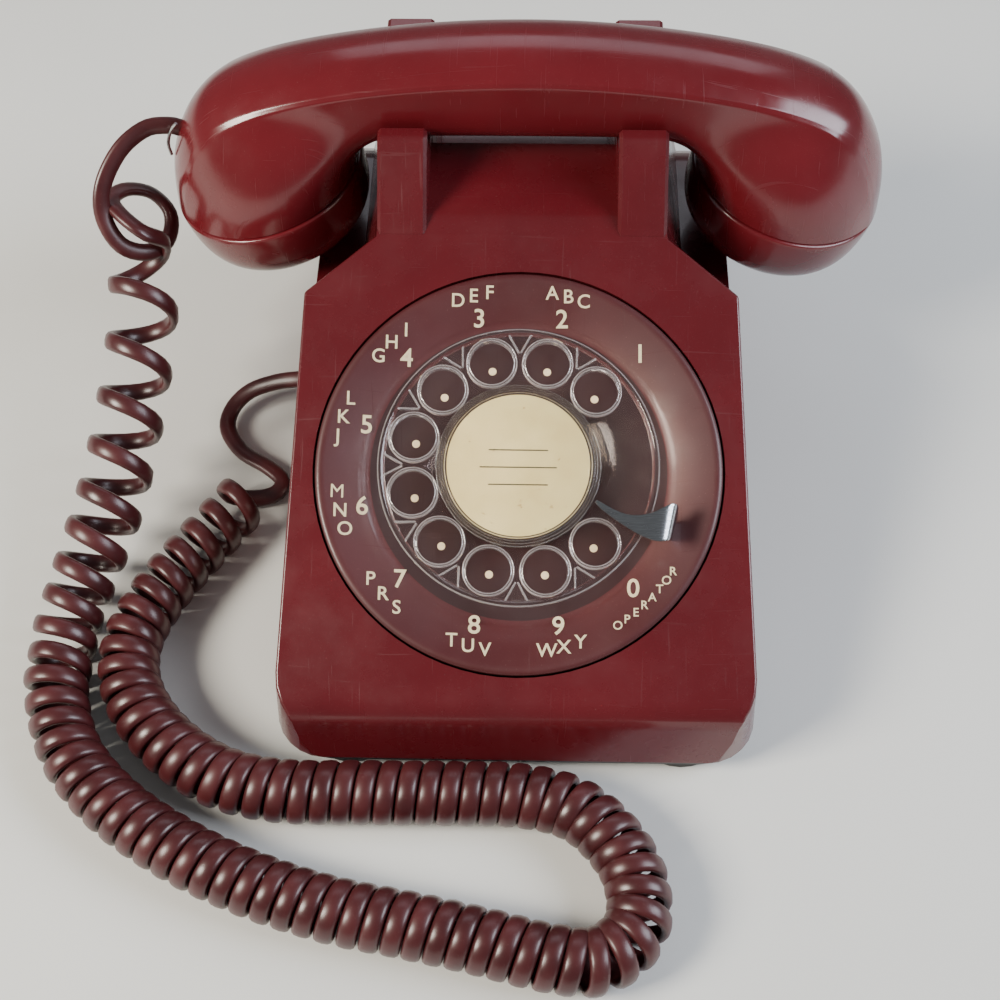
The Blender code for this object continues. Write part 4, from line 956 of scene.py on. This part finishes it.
def wheel_dots():
    """A painted dot on the plate under each finger hole."""
    made = []
    for angle in HOLE_ANGLES:
        deselect()
        bpy.ops.mesh.primitive_cylinder_add(vertices=24, radius=DOT_R, depth=DOT_THICK)
        dot = bpy.context.object
        bpy.ops.object.mode_set(mode="EDIT")
        bpy.ops.mesh.select_all(action="SELECT")
        bpy.ops.mesh.bevel(offset=0.04 * MM, segments=1)
        bpy.ops.object.mode_set(mode="OBJECT")
        spot = (HOLE_CIRCLE_R * math.cos(angle), HOLE_CIRCLE_R * math.sin(angle), PLATE_FLAT + 0.06 * MM)
        dot.data.transform(DIAL_MATRIX @ Matrix.Translation(spot))
        made.append(dot)
    whole = choose(*made)
    bpy.ops.object.join()
    finish_piece(whole, "dial_dots", CREAM, "telephone_base")


def painted_edge_highlight(obj, test):
    """Two finishes on a piece of the wheel: whiter acrylic as a painted highlight where the test says so,
    clear elsewhere.
    """
    obj.data.materials.clear()
    obj.data.materials.append(CLEAR)
    obj.data.materials.append(ACRYLIC_PAINTED_HIGHLIGHT)
    for face in obj.data.polygons:
        face.material_index = 1 if test(face.center) else 0


# Sections of a collar and of the wheel's disc, as (radius, height above the dial's centre plane).
COLLAR_PROFILE = (
    (7.1, 4.45),
    (7.4, 4.7),
    (7.45, 6.0),
    (7.4, 7.2),
    (7.2, 7.5),
    (7.0, 7.4),
    (6.75, 7.4),
    (6.5, 7.55),
    (6.1, 7.45),
    (6.1, 4.5),
)
RIM = WHEEL_R / MM
WHEEL_PROFILE = (
    (RIM - 0.5, 7.25),
    (RIM - 0.1, 6.9),
    (RIM, 6.3),
    (RIM, 4.9),
    (RIM - 0.2, 4.5),
    (RIM - 0.7, 4.4),
    (RIM - 1.6, 4.6),
    (RIM - 2.0, 5.2),
    (24.5, 5.2),
    (23.5, 4.6),
    (5.4, 4.6),
    (5.4, 6.6),
    (24.0, 6.6),
    (24.6, 6.4),
    (RIM - 2.2, 6.4),
    (RIM - 1.7, 7.0),
    (RIM - 1.2, 7.3),
)


def wheel_collar(angle):
    """Raised collar round one finger hole, with light-catching inner and outer edges, their tops whiter as a
    painted highlight.
    """
    ring = profile_spin("collar", COLLAR_PROFILE, 64, Matrix())
    # The collar's top faces, except for a narrow groove, get the painted highlight.
    painted_edge_highlight(ring, lambda c: c.z > 7.0 * MM and not 6.72 * MM < c.xy.length < 7.02 * MM)
    ring.data.transform(Matrix.Rotation(angle, 4, "Z") @ Matrix.Translation((HOLE_CIRCLE_R, 0, 0)))
    return ring


# A rib's length, width and height, the place of its middle, and its lean from the wheel's own radius.
RIB_SIZE = (6.4 * MM, 0.55 * MM, 2.0 * MM)
RIB_OUT, RIB_ASIDE, RIB_UP = 36.1 * MM, 1.8 * MM, 5.9 * MM
RIB_LEAN = 0.5


def wheel_ribs(angle):
    """Two thin ribs that spread from between a pair of collars to the wheel's rim."""
    made = []
    for side in (-1, 1):
        deselect()
        bpy.ops.mesh.primitive_cube_add(size=1)
        rib = bpy.context.object
        bpy.ops.object.mode_set(mode="EDIT")
        bpy.ops.mesh.select_all(action="SELECT")
        bpy.ops.transform.resize(value=RIB_SIZE)
        bpy.ops.mesh.bevel(offset=0.12 * MM, segments=1)
        bpy.ops.object.mode_set(mode="OBJECT")
        # The rib's upper faces get the painted highlight.
        painted_edge_highlight(rib, lambda c: c.z > 0.8 * MM)
        at = Matrix.Rotation(angle, 4, "Z") @ Matrix.Translation((RIB_OUT, side * RIB_ASIDE, RIB_UP))
        rib.data.transform(at @ Matrix.Rotation(side * RIB_LEAN, 4, "Z"))
        made.append(rib)
    return made


def finger_wheel():
    """Clear wheel: thin disc, a raised collar round each hole, and moulded ribs between them."""
    wheel = profile_spin("finger_wheel", WHEEL_PROFILE, 192, Matrix())
    # The top edge of the rim gets the painted highlight.
    painted_edge_highlight(wheel, lambda c: c.xy.length > WHEEL_R - 0.8 * MM and c.z > 6.4 * MM)
    for angle in HOLE_ANGLES:
        tools = [wheel_collar(angle)]
        if angle != HOLE_ANGLES[-1]:
            tools += wheel_ribs(angle + math.radians(HOLE_STEP / 2))
        for tool in tools:
            modify(wheel, "BOOLEAN", operation="UNION", object=tool, solver="EXACT")
            bpy.data.objects.remove(tool, do_unlink=True)
    for angle in HOLE_ANGLES:
        deselect()
        spot = (HOLE_CIRCLE_R * math.cos(angle), HOLE_CIRCLE_R * math.sin(angle), 0)
        bpy.ops.mesh.primitive_cylinder_add(vertices=64, radius=HOLE_R, depth=20 * MM, location=spot)
        tool = bpy.context.object
        # The whole cutter carries the painted highlight, so the walls of each hole get it.
        painted_edge_highlight(tool, lambda c: True)
        modify(wheel, "BOOLEAN", operation="DIFFERENCE", object=tool, solver="EXACT")
        bpy.data.objects.remove(tool, do_unlink=True)
    wheel.data.transform(DIAL_MATRIX)
    finish_piece(wheel, "clear_finger_wheel", None, "dial_wheel", ["fingerwheel"], angle=32)


# The number card's radius, and the stepped rings round its window: how many, and from one to the next.
CARD_R = 20.4
RINGS, RING_STEP = 4, 0.78


def number_card():
    """Paper card on the wheel's hub, its edge softened by handling."""
    low = WHEEL_TOP / MM
    profile = (
        (CARD_R, low + 0.12),
        (CARD_R + 0.15, low + 0.05),
        (CARD_R + 0.15, low - 0.25),
        (CARD_R, low - 0.3),
        (0, low - 0.3),
        (0, low + 0.12),
    )
    card = profile_spin("card", profile, 128, DIAL_MATRIX)
    finish_piece(card, "paper_card", CARD, "dial_wheel", ["number_card"], angle=30)


def card_window():
    """Clear window over the card, with stepped rings at its rim that catch the light, a narrow band of each
    ring whiter as a painted highlight.
    """
    low = WHEEL_TOP / MM
    profile = [(0, low + 2.0), (10, low + 1.95), (17, low + 1.85), (20.3, low + 1.6)]
    for k in range(RINGS):
        start = CARD_R + k * RING_STEP
        profile += [
            (start, low + 1.5 - k * 0.24),
            (start + 0.55, low + 1.6 - k * 0.26),
            (start + 0.7, low + 1.36 - k * 0.24),
        ]
    profile += [(23.6, low + 0.2), (23.6, low - 0.25), (21.0, low - 0.25), (20.9, low + 0.4), (0, low + 0.5)]
    window = profile_spin("window", profile, 128, DIAL_MATRIX)
    window.data.materials.append(CLEAR_WINDOW)
    window.data.materials.append(ACRYLIC_PAINTED_HIGHLIGHT)
    to_dial = DIAL_MATRIX.inverted()
    for face in window.data.polygons:
        spot = to_dial @ face.center
        out = spot.xy.length / MM
        on_rim = CARD_R < out < 23.5 and spot.z > (low + 0.2) * MM
        # A narrow band of each ring gets the whiter acrylic, a painted highlight.
        face.material_index = 1 if on_rim and 0.56 < (out - CARD_R) % RING_STEP < 0.7 else 0
    finish_piece(window, "card_window", None, "dial_wheel", ["card_retainer"], angle=24)


# Cross-lines of the finger stop from its tip round the bend to its foot: two edge points and a height,
# in millimetres from the dial's centre.
STOP_LINES = (
    ((22.3, -9.9), (21.9, -10.7), 9.8),
    ((23.6, -10.6), (22.7, -11.7), 9.8),
    ((25.7, -11.9), (24.4, -13.2), 9.8),
    ((29.7, -13.9), (28.2, -16.0), 9.8),
    ((34.2, -14.5), (33.2, -19.2), 9.8),
    ((38.7, -13.3), (37.6, -21.3), 9.8),
    ((41.8, -11.4), (40.6, -21.6), 9.7),
    ((43.8, -10.6), (42.0, -21.3), 9.3),
    ((45.1, -10.7), (43.1, -20.9), 8.3),
    ((45.7, -11.0), (43.7, -20.6), 6.8),
    ((45.8, -12.4), (43.8, -20.4), 4.6),
    ((45.8, -14.0), (43.9, -20.2), 1.8),
    ((45.8, -14.4), (43.9, -20.1), -1.7),
)


STOP_THICK = 1.1 * MM


def finger_stop():
    """Bent sheet steel: a curved finger over the wheel, rolled down at its end to a foot on the ring."""
    mesh, obj = new_object("finger_stop")
    shape = bmesh.new()
    rows = []
    for upper, lower, height in STOP_LINES:
        a, b = Vector((*upper, height)) * MM, Vector((*lower, height)) * MM
        rows.append([shape.verts.new(a.lerp(b, t)) for t in (0, 0.3, 0.7, 1)])
    for a, b in zip(rows, rows[1:]):
        for k in range(3):
            shape.faces.new((a[k], a[k + 1], b[k + 1], b[k]))
    bmesh.ops.recalc_face_normals(shape, faces=shape.faces)
    if sum(face.normal.z for face in shape.faces) < 0:
        bmesh.ops.reverse_faces(shape, faces=shape.faces)
    shape.to_mesh(mesh)
    shape.free()
    modify(obj, "SUBSURF", levels=2, render_levels=2)
    modify(obj, "SOLIDIFY", thickness=STOP_THICK, offset=-1)
    modify(obj, "BEVEL", width=0.18 * MM, segments=2, limit_method="ANGLE", angle_limit=math.radians(50))
    obj.data.transform(DIAL_MATRIX)
    finish_piece(obj, "steel_finger_stop", STEEL, "telephone_base", ["finger_stop"])


# The card's ruled lines: each one's distance above the middle and its length, in millimetres.
RULED_LINES = ((4.4, 17), (-0.6, 22), (-5.6, 17))
LINE_WIDE, LINE_THICK = 0.35 * MM, 0.06 * MM


def card_marks():
    """Plain ruled lines where a number would be written."""
    made = []
    for y, length in RULED_LINES:
        deselect()
        bpy.ops.mesh.primitive_cube_add(size=1)
        bar = bpy.context.object
        bpy.ops.object.mode_set(mode="EDIT")
        bpy.ops.mesh.select_all(action="SELECT")
        bpy.ops.transform.resize(value=(length * MM, LINE_WIDE, LINE_THICK))
        bpy.ops.mesh.bevel(offset=0.012 * MM, segments=1)
        bpy.ops.object.mode_set(mode="OBJECT")
        bar.data.transform(DIAL_MATRIX @ Matrix.Translation((0, y * MM, WHEEL_TOP + 0.14 * MM)))
        made.append(bar)
    whole = choose(*made)
    bpy.ops.object.join()
    finish_piece(whole, "card_ruled_lines", INK, "dial_wheel")


# ---------------------------------------------------------------- assembly


set_camera()
curly_cord()
set_light()
table_top()
dress_inner_nodes()
housing_shell()
handset_shell()
smooth_cap("mouthpiece_cap")
smooth_cap("earpiece_cap")
finger_stop()
dial_ring()
lettering()
wheel_dots()
finger_wheel()
number_card()
card_window()
card_marks()
for foot in ("foot_front_left", "foot_front_right", "foot_rear_left", "foot_rear_right"):
    softened_foot(foot)
